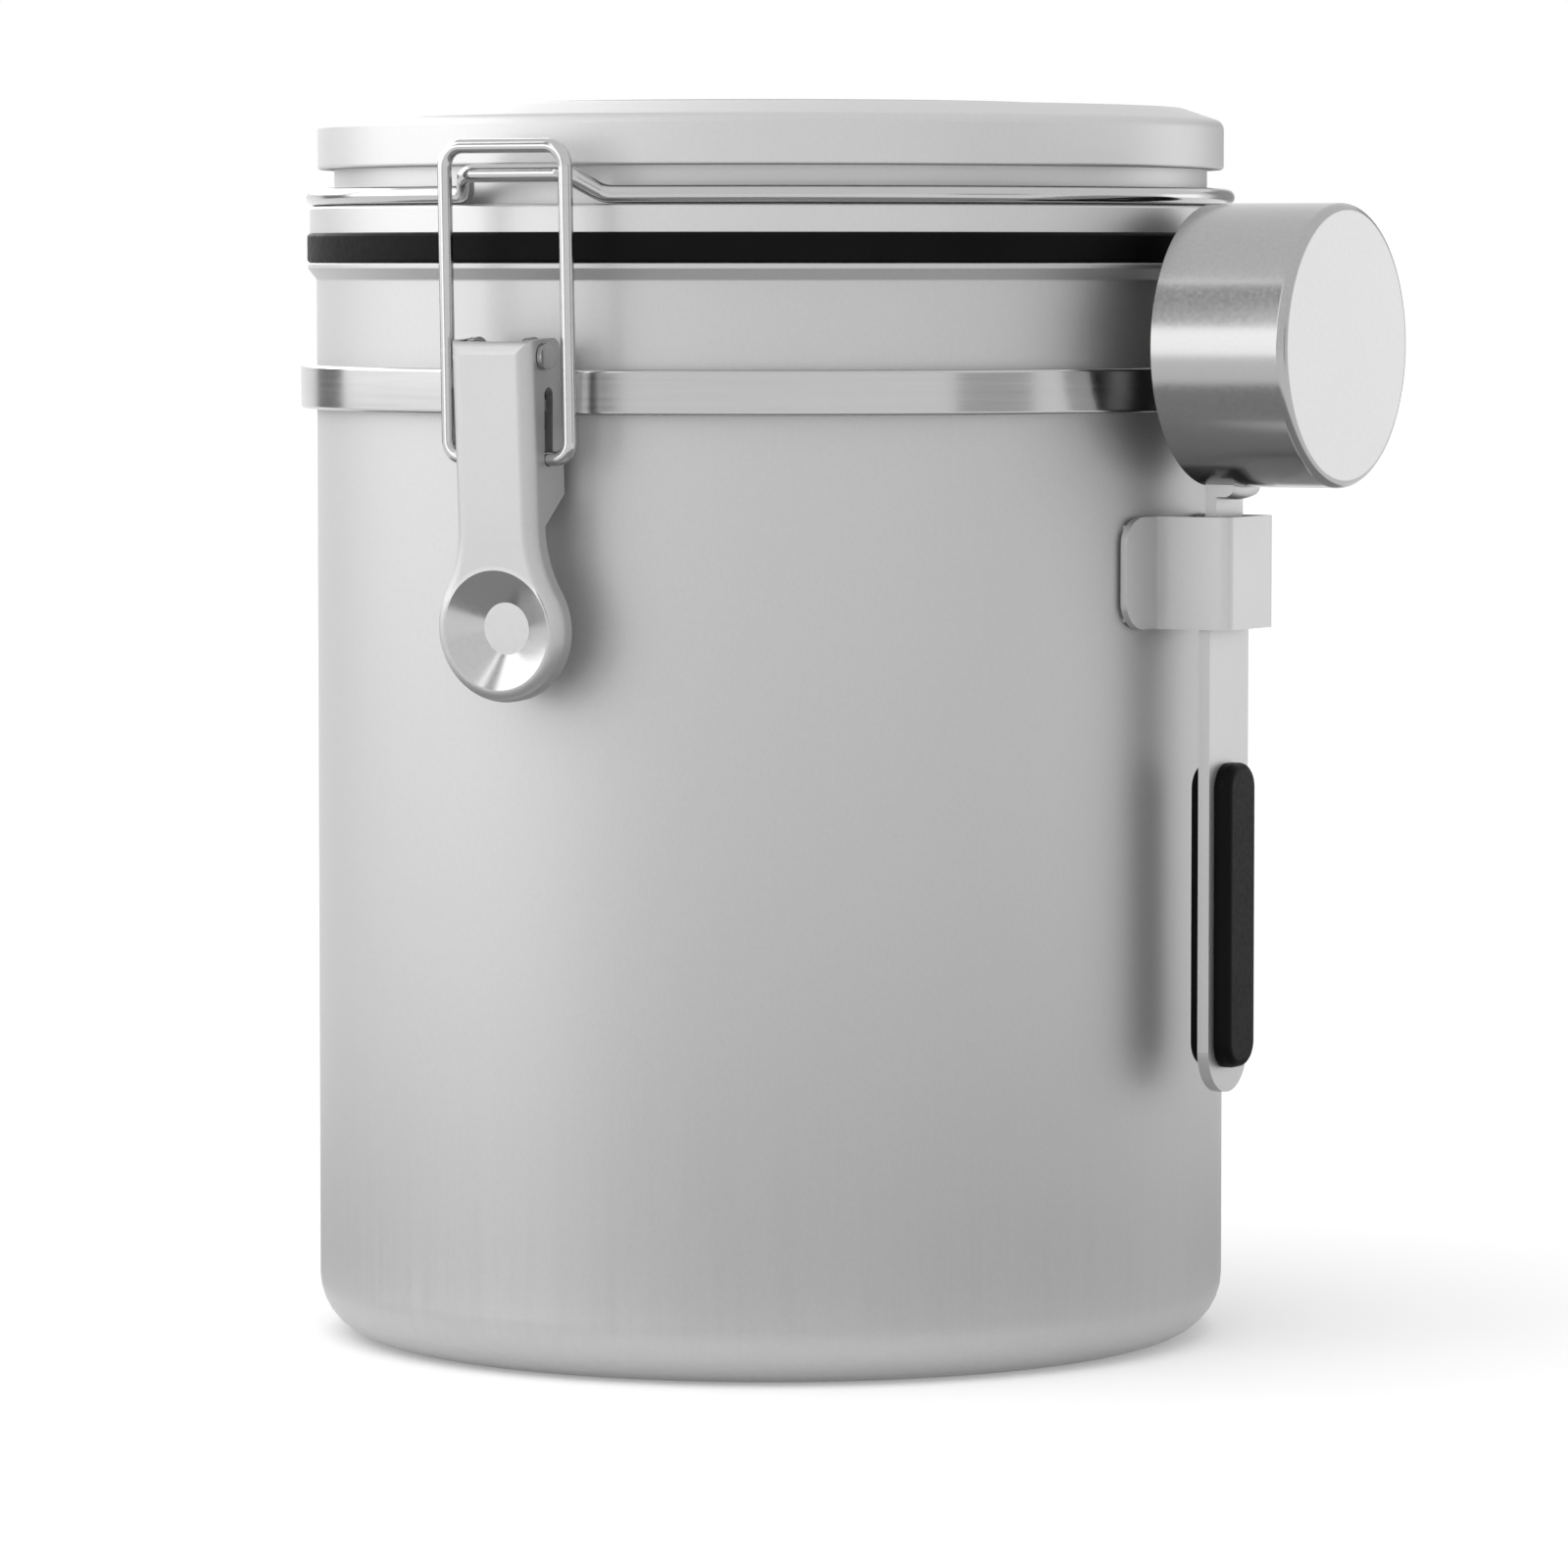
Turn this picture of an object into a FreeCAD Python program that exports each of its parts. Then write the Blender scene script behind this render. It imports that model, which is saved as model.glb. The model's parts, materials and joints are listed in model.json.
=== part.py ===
"""Clamp-lid food canister with a hinged lid, a wire toggle latch and a scoop in a side clip.

Millimetres, +Z up. The origin is the centre of the base. The latch faces -Y, the lid hinge is at +Y
and the scoop hangs at +X. Every piece is written to parts/NAME.step.
"""
import FreeCAD, Part
import math
import os

V = FreeCAD.Vector

# Share of a sheet or a head's height that a rounded edge takes
EDGE_SHARE = 0.7
CROWN_SHARE = 0.6

# Canister shell
BODY_R = 68.3
BODY_WALL = 0.8
BODY_HEIGHT = 161.3
BASE_FILLET = 9.0
RIM_PROUD = 1.3
RIM_EDGE = 0.8
RIM_ROUND = 0.3
RIM_SLOPE = 1.7

# Clamp band round the shell
BAND_DROP = 15.2
BAND_HEIGHT = 6.5
BAND_PROUD = 2.4
BAND_SHEET = 0.8
BAND_GAP = 0.05

# Gasket
GASKET_HEIGHT = 4.4
GASKET_PROUD = 1.4
GASKET_WIDTH = 9.7
GASKET_EDGE = 0.6

# Lid: pressed cap over a pressed base
LID_SHEET = 0.8
NECK_PROUD = 1.0
NECK_HEIGHT = 4.0
GROOVE_DEPTH = 3.7
GROOVE_HEIGHT = 5.5
SEAM_LIP = 1.4
SEAM_FIT = 0.05
CAP_OVERHANG = 2.5
CAP_WALL_HEIGHT = 7.1
CAP_CHAMFER_IN = 6.2
CAP_CHAMFER_RISE = 2.1
CAP_EDGE_ROUND = 1.6

# Lid liner
LINER_WALL = 1.5
LINER_PLUG_DEPTH = 5.4
LINER_FIT = 0.2

# Date dials in the lid's top
DIAL_HOLE_R = 41.0
DIAL_BEZEL_PROUD = 0.6
DIAL_BEZEL_WIDTH = 2.6
DIAL_FIT = 0.3
DIAL_FLOOR = 0.8
DIAL_WALL = 1.5
DIAL_THICK = 1.6
DIAL_EDGE = 0.3
DIAL_SUNK = 0.4
DAY_DIAL_WIDTH = 12.0
MONTH_DIAL_WIDTH = 11.0
FINGER_DIMPLE_R = 1.9
FINGER_DIMPLE_DEPTH = 0.7
FINGER_DIMPLE_INSET = 1.0
POINTER_SIZE = 1.6
POINTER_INSET = 0.6
POINTER_DEPTH = 0.3
BEZEL_CHAMFER = 0.4
BOSS_R = 3.2
BOSS_CIRCLE_R = 32.0
BOSS_COUNT = 4
SCREW_R = 1.2
SCREW_HEAD_R = 2.4
SCREW_HEAD_HEIGHT = 1.2
SCREW_BITE = 8.0
SCREW_FIT = 0.1
SCREW_SLOT_HALF = 1.7
SCREW_SLOT_WIDTH = 0.5
SCREW_SLOT_DEPTH = 0.6

# One-way vent valve in the lid's centre
VALVE_R = 12.0
VALVE_WALL = 1.2
VALVE_FLANGE_WIDTH = 2.6
VALVE_FLANGE = 1.0
VALVE_SEAT_RISE = 9.7
VALVE_SEAT = 1.2
VENT_R = 1.2
VENT_CIRCLE_R = 4.6
VENT_COUNT = 6
GUIDE_PIN_R = 1.0
FLAP_R = 8.4
FLAP_THICK = 1.0
FLAP_LIFT = 1.5
FILTER_THICK = 0.6
VALVE_FIT = 0.1
CAP_STEM_R = 2.2
CAP_SLOT_LENGTH = 6.0
CAP_SLOT_WIDTH = 1.4
CAP_SLOT_INSET = 1.0
CAP_ROUND = 0.8
CAP_SKIRT = 3.6

# Wire ring that carries the lid
RING_WIRE = 2.6
RING_INSET = 0.8
RING_LIFT = 0.05
CATCH_HALF = 8.3
CATCH_REACH = 4.4
CATCH_RISE = 3.0
CATCH_FOOT_X = 11.5
CATCH_RUN = 5.0
WIRE_BEND = 2.8

# Rear hinge
HINGE_REACH = 7.5
HINGE_PIN_R = 1.25
HINGE_FIT = 0.1
HINGE_KNUCKLE_R = 2.9
HINGE_KNUCKLE_HALF = 4.9
HINGE_EYE_X = 6.5
HINGE_EYE_FLAT = 0.15
HINGE_PIN_HEAD_R = 2.1
HINGE_PIN_HEAD = 0.9
HINGE_PLATE = 1.0
HINGE_PLATE_HALF = 11.0
HINGE_PLATE_BELOW = 2.5
HINGE_RUN = 5.5
HINGE_RIVET_R = 1.2
HINGE_RIVET_HEAD_R = 2.2
HINGE_RIVET_X = 7.5
RIVET_HEAD = 0.7

# Toggle latch
LEVER_HALF = 6.6
LEVER_SHEET = 1.2
LEVER_BEND = 2.0
LEVER_FACE_OUT = 4.5
LEVER_TOP_RISE = 2.5
LEVER_REACH = 38.8
LEVER_TILT = 3.2
LEVER_DISC_R = 10.5
LEVER_NECK_R = 18.0
LEVER_TRAY_DEPTH = 3.6
LEVER_CHEEK_IN = 4.6
LEVER_CHEEK_DROP = 19.9
LEVER_CHEEK_BEVEL = 4.2
LEVER_TOP_CORNER = 2.0
DIMPLE_R = 9.2
DIMPLE_FLAT_R = 3.75
DIMPLE_DEPTH = 2.9
PIVOT_REACH = 5.25
PIVOT_RISE = 1.9
PIVOT_PIN_R = 1.25
PIVOT_HEAD_R = 1.9
PIVOT_HEAD = 0.7
PIVOT_FIT = 0.1
BRACKET_SHEET = 1.0
BRACKET_SIDE_FIT = 0.3
BRACKET_DROP = 10.5
BRACKET_RISE = 2.0
BRACKET_EAR_R = 2.8
LATCH_RIVET_R = 0.8
LATCH_RIVET_HEAD_R = 1.4
LATCH_RIVET_X = 1.75

# Wire bail of the latch
BAIL_WIRE = 2.1
BAIL_HALF = 10.1
BAIL_OVER = 1.5
BAIL_CLEAR = 0.55
BAIL_FOOT_DROP = 14.5
BAIL_OVER_CENTRE = 1.4
BAIL_SLOT_HEIGHT = 9.0
BAIL_CORNER = 3.0
BAIL_FOOT_BEND = 2.4
BAIL_END_GAP = 0.2
BAIL_HOLE_FIT = 0.08

# Scoop clip on the shell
CLIP_DROP = 53.3
CLIP_HEIGHT = 16.4
CLIP_SHEET = 1.0
CLIP_TAB_HALF = 14.8
CLIP_CORNER = 4.0
CLIP_BEND = 1.6
CLIP_INNER_BEND = 0.6
CLIP_SIDE_FIT = 0.3
CLIP_FACE_FIT = 0.3
PAD_THICK = 0.5
PAD_INSET = 1.2

# Scoop
CUP_R = 20.65
CUP_WALL = 0.6
CUP_DEPTH = 21.5
CUP_EDGE = 1.3
CUP_CLEAR = 4.1
HANDLE_INSET = 0.8
HANDLE_THICK = 1.8
HANDLE_HALF = 6.3
NECK_HALF = 4.35
SCOOP_NECK_LENGTH = 4.25
NECK_SHOULDER = 3.0
HANDLE_DROP = 68.1
SADDLE_LENGTH = 4.6
SADDLE_THICK = 1.8
SADDLE_ROUND = 1.5
WELD_GAP = 0.03
GRIP_GAP = 19.7
GRIP_LENGTH = 44.7
GRIP_HALF = 4.7
GRIP_PROUD = 2.4
GRIP_EDGE = 1.3
GRIP_CORNER = 3.8
GRIP_SLOT_HALF = 2.6
GRIP_SLOT_INSET = 4.0

# Heights and radii that follow from the values above
RIM_R = BODY_R + RIM_PROUD
GASKET_R = BODY_R + GASKET_PROUD
GASKET_INNER_R = GASKET_R - GASKET_WIDTH
GASKET_TOP_Z = BODY_HEIGHT + GASKET_HEIGHT
STEP_Z = GASKET_TOP_Z + NECK_HEIGHT
SEAM_Z = STEP_Z + GROOVE_HEIGHT
CAP_SHOULDER_Z = SEAM_Z + CAP_WALL_HEIGHT
LID_TOP_Z = CAP_SHOULDER_Z + CAP_CHAMFER_RISE
NECK_R = BODY_R + NECK_PROUD
GROOVE_R = NECK_R - GROOVE_DEPTH
CAP_R = GROOVE_R + CAP_OVERHANG
RING_R = NECK_R - RING_INSET
RING_Z = STEP_Z + RING_LIFT + RING_WIRE / 2
CATCH_R = RING_R + CATCH_REACH
CATCH_Z = RING_Z + CATCH_RISE
HINGE_R = RING_R + HINGE_REACH
BEZEL_TOP_Z = LID_TOP_Z + DIAL_BEZEL_PROUD
DIAL_TOP_Z = BEZEL_TOP_Z - DIAL_SUNK
DIAL_FLOOR_Z = DIAL_TOP_Z - DIAL_THICK
DIAL_BASE_R = DIAL_HOLE_R - DIAL_FIT
DAY_OUT_R = DIAL_BASE_R - DIAL_WALL - DIAL_FIT
DAY_IN_R = DAY_OUT_R - DAY_DIAL_WIDTH
MONTH_OUT_R = DAY_IN_R - DIAL_FIT
MONTH_IN_R = MONTH_OUT_R - MONTH_DIAL_WIDTH
PLUG_R = GASKET_INNER_R - LINER_FIT
PLUG_BOTTOM_Z = GASKET_TOP_Z - LINER_PLUG_DEPTH
PLUG_FLOOR_Z = PLUG_BOTTOM_Z + LINER_WALL
VALVE_BORE_R = VALVE_R - VALVE_WALL
VALVE_TOP_Z = DIAL_FLOOR_Z
VALVE_SEAT_Z = PLUG_BOTTOM_Z + VALVE_SEAT_RISE
FLAP_Z = VALVE_SEAT_Z + VALVE_SEAT
BAND_R = BODY_R + BAND_PROUD
BAND_TOP_Z = BODY_HEIGHT - BAND_DROP
BAND_MID_Z = BAND_TOP_Z - BAND_HEIGHT / 2
PLATE_R = BAND_R + BAND_GAP
PIVOT_R = PLATE_R + PIVOT_REACH
PIVOT_Z = BAND_TOP_Z + PIVOT_RISE
LEVER_FACE_R = PIVOT_R + LEVER_FACE_OUT
LEVER_TOP_Z = PIVOT_Z + LEVER_TOP_RISE
LEVER_DISC_Z = PIVOT_Z - LEVER_REACH
BRACKET_HALF = LEVER_HALF - LEVER_SHEET - BRACKET_SIDE_FIT
BRACKET_BOTTOM_Z = PIVOT_Z - BRACKET_DROP
BRACKET_TOP_Z = PIVOT_Z + BRACKET_RISE
BAIL_TOP_R = CATCH_R + RING_WIRE / 2 + BAIL_CLEAR + BAIL_WIRE / 2
BAIL_TOP_Z = CATCH_Z + RING_WIRE / 2 + BAIL_OVER + BAIL_WIRE / 2
BAIL_FOOT_R = PIVOT_R - BAIL_OVER_CENTRE
BAIL_FOOT_Z = PIVOT_Z - BAIL_FOOT_DROP
CLIP_BOTTOM_Z = BODY_HEIGHT - CLIP_DROP
CLIP_TOP_Z = CLIP_BOTTOM_Z + CLIP_HEIGHT
CUP_RIM_X = BAND_R + CUP_CLEAR
CUP_Z = CLIP_TOP_Z + SCOOP_NECK_LENGTH + CUP_R
HANDLE_X = CUP_RIM_X + HANDLE_INSET
HANDLE_TIP_Z = CLIP_BOTTOM_Z - HANDLE_DROP
GRIP_TOP_Z = CLIP_BOTTOM_Z - GRIP_GAP
GRIP_BOTTOM_Z = GRIP_TOP_Z - GRIP_LENGTH
CLIP_INNER_HALF = HANDLE_HALF + CLIP_SIDE_FIT
CLIP_FACE_X = HANDLE_X + HANDLE_THICK + GRIP_PROUD + CLIP_FACE_FIT


def box(x0, x1, y0, y1, z0, z1):
    """A block between two corners."""
    return Part.makeBox(x1 - x0, y1 - y0, z1 - z0, V(x0, y0, z0))


def disc(r, z0, z1, x=0.0, y=0.0):
    """An upright cylinder between two heights."""
    return Part.makeCylinder(r, z1 - z0, V(x, y, z0))


def rod_x(r, x0, x1, y, z):
    """A cylinder along X."""
    return Part.makeCylinder(r, x1 - x0, V(x0, y, z), V(1, 0, 0))


def rod_y(r, y0, y1, x, z):
    """A cylinder along Y."""
    return Part.makeCylinder(r, y1 - y0, V(x, y0, z), V(0, 1, 0))


def ring(r_in, r_out, z0, z1):
    """A flat ring between two heights."""
    return disc(r_out, z0, z1).cut(disc(r_in, z0 - 1, z1 + 1))


def revolved(points):
    """A solid of revolution about Z from a closed outline of (r, z) corners."""
    corners = [V(r, 0, z) for r, z in points]
    face = Part.Face(Part.makePolygon(corners + corners[:1]))
    return face.revolve(V(0, 0, 0), V(0, 0, 1), 360)


def edges_at(shape, test):
    """The edges of a shape whose centre passes the test."""
    return [e for e in shape.Edges if test(e.CenterOfMass, e)]


def circles_at(shape, radius, z, slack=1e-3):
    """The circular edges about Z at one radius and height."""
    def found(centre, edge):
        return (isinstance(edge.Curve, Part.Circle) and abs(edge.Curve.Radius - radius) < slack
                and abs(edge.Curve.Center.z - z) < slack)
    return edges_at(shape, found)


def upright(shape, test):
    """The straight edges along Z whose centre passes the test."""
    def found(centre, edge):
        along = edge.Vertexes[-1].Point - edge.Vertexes[0].Point
        return abs(abs(along.z) - along.Length) < 1e-6 and along.Length > 1e-6 and test(centre)
    return edges_at(shape, found)


def corner_arc(before, corner, after, radius):
    """The start, middle and end of the arc that rounds one corner of a route."""
    back = (before - corner).normalize()
    ahead = (after - corner).normalize()
    half = math.acos(max(-1.0, min(1.0, back.dot(ahead)))) / 2
    inward = (back + ahead).normalize()
    reach = radius / math.tan(half)
    middle = corner + inward * (radius / math.sin(half) - radius)
    return corner + back * reach, middle, corner + ahead * reach


def route_edges(points, radii):
    """Straight runs through the points, joined at the corners by tangent arcs of the given radii."""
    edges = []
    start = points[0]
    for before, corner, after, radius in zip(points, points[1:], points[2:], radii):
        a, middle, b = corner_arc(before, corner, after, radius)
        edges.append(Part.LineSegment(start, a).toShape())
        edges.append(Part.Arc(a, middle, b).toShape())
        start = b
    edges.append(Part.LineSegment(start, points[-1]).toShape())
    return edges


def wire_rod(edges, diameter):
    """A round wire swept along the edges."""
    spine = Part.Wire(edges)
    first = edges[0]
    begin = first.valueAt(first.FirstParameter)
    along = first.tangentAt(first.FirstParameter)
    section = Part.Wire(Part.makeCircle(diameter / 2, begin, along))
    return spine.makePipeShell([section], True, False)


def mirrored_x(shape):
    """The mirror image across the plane X = 0."""
    return shape.mirror(V(0, 0, 0), V(1, 0, 0))


def both_sides(points):
    """A route through the mirror images of the points and back through the points, from end to end."""
    return [V(-p.x, p.y, p.z) for p in reversed(points)] + points


def around_z(shape, count, turn=0.0):
    """Copies of a shape evenly spaced about Z, as a list."""
    copies = []
    for i in range(count):
        copy = shape.copy()
        copy.rotate(V(0, 0, 0), V(0, 0, 1), turn + 360.0 * i / count)
        copies.append(copy)
    return copies


# Canister body

def canister_body():
    inner = BODY_R - BODY_WALL
    shell = revolved([(0, 0), (BODY_R, 0), (BODY_R, BODY_HEIGHT - RIM_EDGE - RIM_SLOPE),
                      (RIM_R, BODY_HEIGHT - RIM_EDGE), (RIM_R, BODY_HEIGHT), (0, BODY_HEIGHT)])
    shell = shell.makeFillet(BASE_FILLET, circles_at(shell, BODY_R, 0))
    hollow = disc(inner, BODY_WALL, BODY_HEIGHT + 1)
    hollow = hollow.makeFillet(BASE_FILLET - BODY_WALL, circles_at(hollow, inner, BODY_WALL))
    body = shell.cut(hollow)
    return body.makeFillet(RIM_ROUND, circles_at(body, RIM_R, BODY_HEIGHT))


def clamp_band():
    """A rolled channel whose two edges rest on the shell."""
    low = BAND_TOP_Z - BAND_HEIGHT
    seat = BODY_R + BAND_GAP
    back = BAND_R - BAND_SHEET
    band = revolved([(seat, low), (BAND_R, low), (BAND_R, BAND_TOP_Z), (seat, BAND_TOP_Z),
                     (seat, BAND_TOP_Z - BAND_SHEET), (back, BAND_TOP_Z - BAND_SHEET),
                     (back, low + BAND_SHEET), (seat, low + BAND_SHEET)])
    rims = circles_at(band, BAND_R, low) + circles_at(band, BAND_R, BAND_TOP_Z)
    band = band.makeFillet(BAND_SHEET * EDGE_SHARE, rims)
    holes = ((-1, LATCH_RIVET_R, latch_rivet_places()), (1, HINGE_RIVET_R, hinge_rivet_places()))
    for side, radius, places in holes:
        for x in places:
            band = band.cut(rod_y(radius, *sorted((side * BODY_R, side * (BAND_R + 1))), x, BAND_MID_Z))
    return band


# Rivets hold the latch bracket and the hinge bracket to the band

def latch_rivet_places():
    return (-LATCH_RIVET_X, LATCH_RIVET_X)


def hinge_rivet_places():
    return (-HINGE_RIVET_X, HINGE_RIVET_X)


def rivet(side, x, plate, radius, head_radius):
    """A round-head rivet through a bracket's plate and the band."""
    foot = math.sqrt((BAND_R - BAND_SHEET) ** 2 - x * x)
    face = PLATE_R + plate
    shank = rod_y(radius, *sorted((side * foot, side * face)), x, BAND_MID_Z)
    head = rod_y(head_radius, *sorted((side * face, side * (face + RIVET_HEAD))), x, BAND_MID_Z)
    crown = edges_at(head, lambda c, e: abs(abs(c.y) - face - RIVET_HEAD) < 1e-3 and e.Length > head_radius * 4)
    return shank.fuse(head.makeFillet(RIVET_HEAD * CROWN_SHARE, crown)).removeSplitter()


def latch_rivets():
    places = latch_rivet_places()
    return Part.makeCompound([rivet(-1, x, BRACKET_SHEET, LATCH_RIVET_R, LATCH_RIVET_HEAD_R) for x in places])


def hinge_rivets():
    places = hinge_rivet_places()
    return Part.makeCompound([rivet(1, x, HINGE_PLATE, HINGE_RIVET_R, HINGE_RIVET_HEAD_R) for x in places])


# Gasket and lid

def gasket():
    seal = ring(GASKET_INNER_R, GASKET_R, BODY_HEIGHT, GASKET_TOP_Z)
    rims = circles_at(seal, GASKET_R, BODY_HEIGHT) + circles_at(seal, GASKET_R, GASKET_TOP_Z)
    return seal.makeFillet(GASKET_EDGE, rims)


def lid_base():
    """The lid's lower pressing: a neck on the gasket, a groove for the wire ring and a seam lip."""
    t = LID_SHEET
    top = SEAM_Z + t
    base = revolved([(NECK_R, GASKET_TOP_Z), (NECK_R, STEP_Z), (GROOVE_R, STEP_Z), (GROOVE_R, top),
                     (GROOVE_R + SEAM_LIP, top), (GROOVE_R + SEAM_LIP, top + t), (GROOVE_R - t, top + t),
                     (GROOVE_R - t, STEP_Z - t), (NECK_R - t, STEP_Z - t), (NECK_R - t, GASKET_TOP_Z)])
    return base.makeFillet(t * EDGE_SHARE, circles_at(base, NECK_R, STEP_Z))


def lid_cap():
    """The lid's upper pressing: a chamfered cap whose lower lip is seamed under the lid base's lip."""
    t = LID_SHEET
    lip_in = GROOVE_R + SEAM_FIT
    crown_r = CAP_R - CAP_CHAMFER_IN
    slope = math.atan2(CAP_CHAMFER_RISE, CAP_CHAMFER_IN)
    drop = t * math.tan((math.pi / 2 - slope) / 2)
    shift = t * math.tan(slope / 2)
    cap = revolved([(lip_in, SEAM_Z), (CAP_R, SEAM_Z), (CAP_R, CAP_SHOULDER_Z), (crown_r, LID_TOP_Z),
                    (DIAL_HOLE_R, LID_TOP_Z), (DIAL_HOLE_R, LID_TOP_Z - t), (crown_r - shift, LID_TOP_Z - t),
                    (CAP_R - t, CAP_SHOULDER_Z - drop), (CAP_R - t, SEAM_Z + t), (lip_in, SEAM_Z + t)])
    soft = circles_at(cap, CAP_R, CAP_SHOULDER_Z) + circles_at(cap, crown_r, LID_TOP_Z)
    cap = cap.makeFillet(CAP_EDGE_ROUND, soft)
    return cap.makeFillet(t * EDGE_SHARE, circles_at(cap, CAP_R, SEAM_Z))


def screw_places():
    angles = [math.radians(45 + 360.0 * i / BOSS_COUNT) for i in range(BOSS_COUNT)]
    return [(BOSS_CIRCLE_R * math.cos(a), BOSS_CIRCLE_R * math.sin(a)) for a in angles]


def lid_liner():
    """The moulded underside of the lid: a flange over the gasket and a plug inside it."""
    flange_top = STEP_Z - LID_SHEET
    rim_r = NECK_R - LID_SHEET - LINER_FIT
    inner = PLUG_R - LINER_WALL
    liner = revolved([(0, PLUG_BOTTOM_Z), (PLUG_R, PLUG_BOTTOM_Z), (PLUG_R, GASKET_TOP_Z),
                      (rim_r, GASKET_TOP_Z), (rim_r, flange_top), (inner, flange_top),
                      (inner, PLUG_FLOOR_Z), (0, PLUG_FLOOR_Z)])
    liner = liner.makeFillet(LINER_WALL * EDGE_SHARE, circles_at(liner, PLUG_R, PLUG_BOTTOM_Z))
    liner = liner.cut(disc(VALVE_R + VALVE_FIT, PLUG_BOTTOM_Z - 1, PLUG_FLOOR_Z + 1))
    for x, y in screw_places():
        liner = liner.cut(disc(SCREW_R + SCREW_FIT, PLUG_BOTTOM_Z - 1, PLUG_FLOOR_Z + 1, x, y))
    return liner


def dial_base():
    """The fixed tray of the date dials: a bezel on the cap, a floor and the bosses for the liner's screws."""
    bezel_r = DIAL_HOLE_R + DIAL_BEZEL_WIDTH
    wall_in = DIAL_BASE_R - DIAL_WALL
    under = DIAL_FLOOR_Z - DIAL_FLOOR
    hole = VALVE_R + VALVE_FIT
    tray = revolved([(hole, under), (DIAL_BASE_R, under), (DIAL_BASE_R, LID_TOP_Z), (bezel_r, LID_TOP_Z),
                     (bezel_r, BEZEL_TOP_Z), (wall_in, BEZEL_TOP_Z), (wall_in, DIAL_FLOOR_Z),
                     (hole, DIAL_FLOOR_Z)])
    tray = tray.makeChamfer(BEZEL_CHAMFER, circles_at(tray, bezel_r, BEZEL_TOP_Z))
    tip = wall_in + POINTER_INSET
    far = tip + POINTER_SIZE
    corners = [(0, -tip), (POINTER_SIZE / 2, -far), (-POINTER_SIZE / 2, -far), (0, -tip)]
    mark = Part.Face(Part.makePolygon([V(x, y, BEZEL_TOP_Z) for x, y in corners]))
    tray = tray.cut(mark.extrude(V(0, 0, -POINTER_DEPTH)))
    for x, y in screw_places():
        boss = disc(BOSS_R, PLUG_FLOOR_Z, under + DIAL_FLOOR / 2, x, y)
        pilot = disc(SCREW_R, PLUG_FLOOR_Z - 1, PLUG_FLOOR_Z + SCREW_BITE, x, y)
        tray = tray.fuse(boss).cut(pilot)
    return tray.removeSplitter()


def liner_screws():
    """Pan-head screws from the liner's underside into the dial base's bosses."""
    screws = []
    for x, y in screw_places():
        head = disc(SCREW_HEAD_R, PLUG_BOTTOM_Z - SCREW_HEAD_HEIGHT, PLUG_BOTTOM_Z, x, y)
        low = PLUG_BOTTOM_Z - SCREW_HEAD_HEIGHT
        crown = edges_at(head, lambda c, e: abs(c.z - low) < 1e-6 and e.Length > SCREW_HEAD_R * 4)
        head = head.makeFillet(SCREW_HEAD_HEIGHT * CROWN_SHARE, crown)
        shank = disc(SCREW_R, PLUG_BOTTOM_Z, PLUG_FLOOR_Z + SCREW_BITE - 1, x, y)
        slot = box(x - SCREW_SLOT_HALF, x + SCREW_SLOT_HALF, y - SCREW_SLOT_WIDTH / 2, y + SCREW_SLOT_WIDTH / 2,
                   low - 1, low + SCREW_SLOT_DEPTH)
        across = slot.copy()
        across.rotate(V(x, y, low), V(0, 0, 1), 90)
        screws.append(head.fuse(shank).cut(slot).cut(across).removeSplitter())
    return Part.makeCompound(screws)


def dial_ring(r_in, r_out, dimple_angle):
    """A turning dial ring with one dimple for a fingertip."""
    dial = ring(r_in, r_out, DIAL_FLOOR_Z, DIAL_TOP_Z)
    rims = circles_at(dial, r_out, DIAL_TOP_Z) + circles_at(dial, r_in, DIAL_TOP_Z)
    dial = dial.makeFillet(DIAL_EDGE, rims)
    middle = r_in + FINGER_DIMPLE_R + FINGER_DIMPLE_INSET
    a = math.radians(dimple_angle)
    depth = FINGER_DIMPLE_DEPTH
    ball_r = (FINGER_DIMPLE_R ** 2 + depth ** 2) / (2 * depth)
    ball = Part.makeSphere(ball_r, V(middle * math.cos(a), middle * math.sin(a), DIAL_TOP_Z + ball_r - depth))
    return dial.cut(ball)


# Vent valve

def valve_housing():
    """The valve's tube: a flange under the liner, a seat with vents and a pin that guides the flap."""
    flange_r = VALVE_R + VALVE_FLANGE_WIDTH
    low = PLUG_BOTTOM_Z - VALVE_FLANGE
    tube = disc(VALVE_R, low, VALVE_TOP_Z).fuse(disc(flange_r, low, PLUG_BOTTOM_Z))
    tube = tube.cut(disc(VALVE_BORE_R, low - 1, VALVE_SEAT_Z))
    tube = tube.cut(disc(VALVE_BORE_R, FLAP_Z, VALVE_TOP_Z + 1))
    vent = disc(VENT_R, VALVE_SEAT_Z - 1, FLAP_Z + 1, VENT_CIRCLE_R, 0)
    for hole in around_z(vent, VENT_COUNT):
        tube = tube.cut(hole)
    pin = disc(GUIDE_PIN_R, FLAP_Z, FLAP_Z + FLAP_THICK + FLAP_LIFT)
    return tube.fuse(pin).removeSplitter()


def valve_flap():
    return ring(GUIDE_PIN_R + VALVE_FIT, FLAP_R, FLAP_Z, FLAP_Z + FLAP_THICK)


def valve_filter():
    return disc(VALVE_BORE_R - VALVE_FIT, VALVE_SEAT_Z - FILTER_THICK, VALVE_SEAT_Z)


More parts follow.
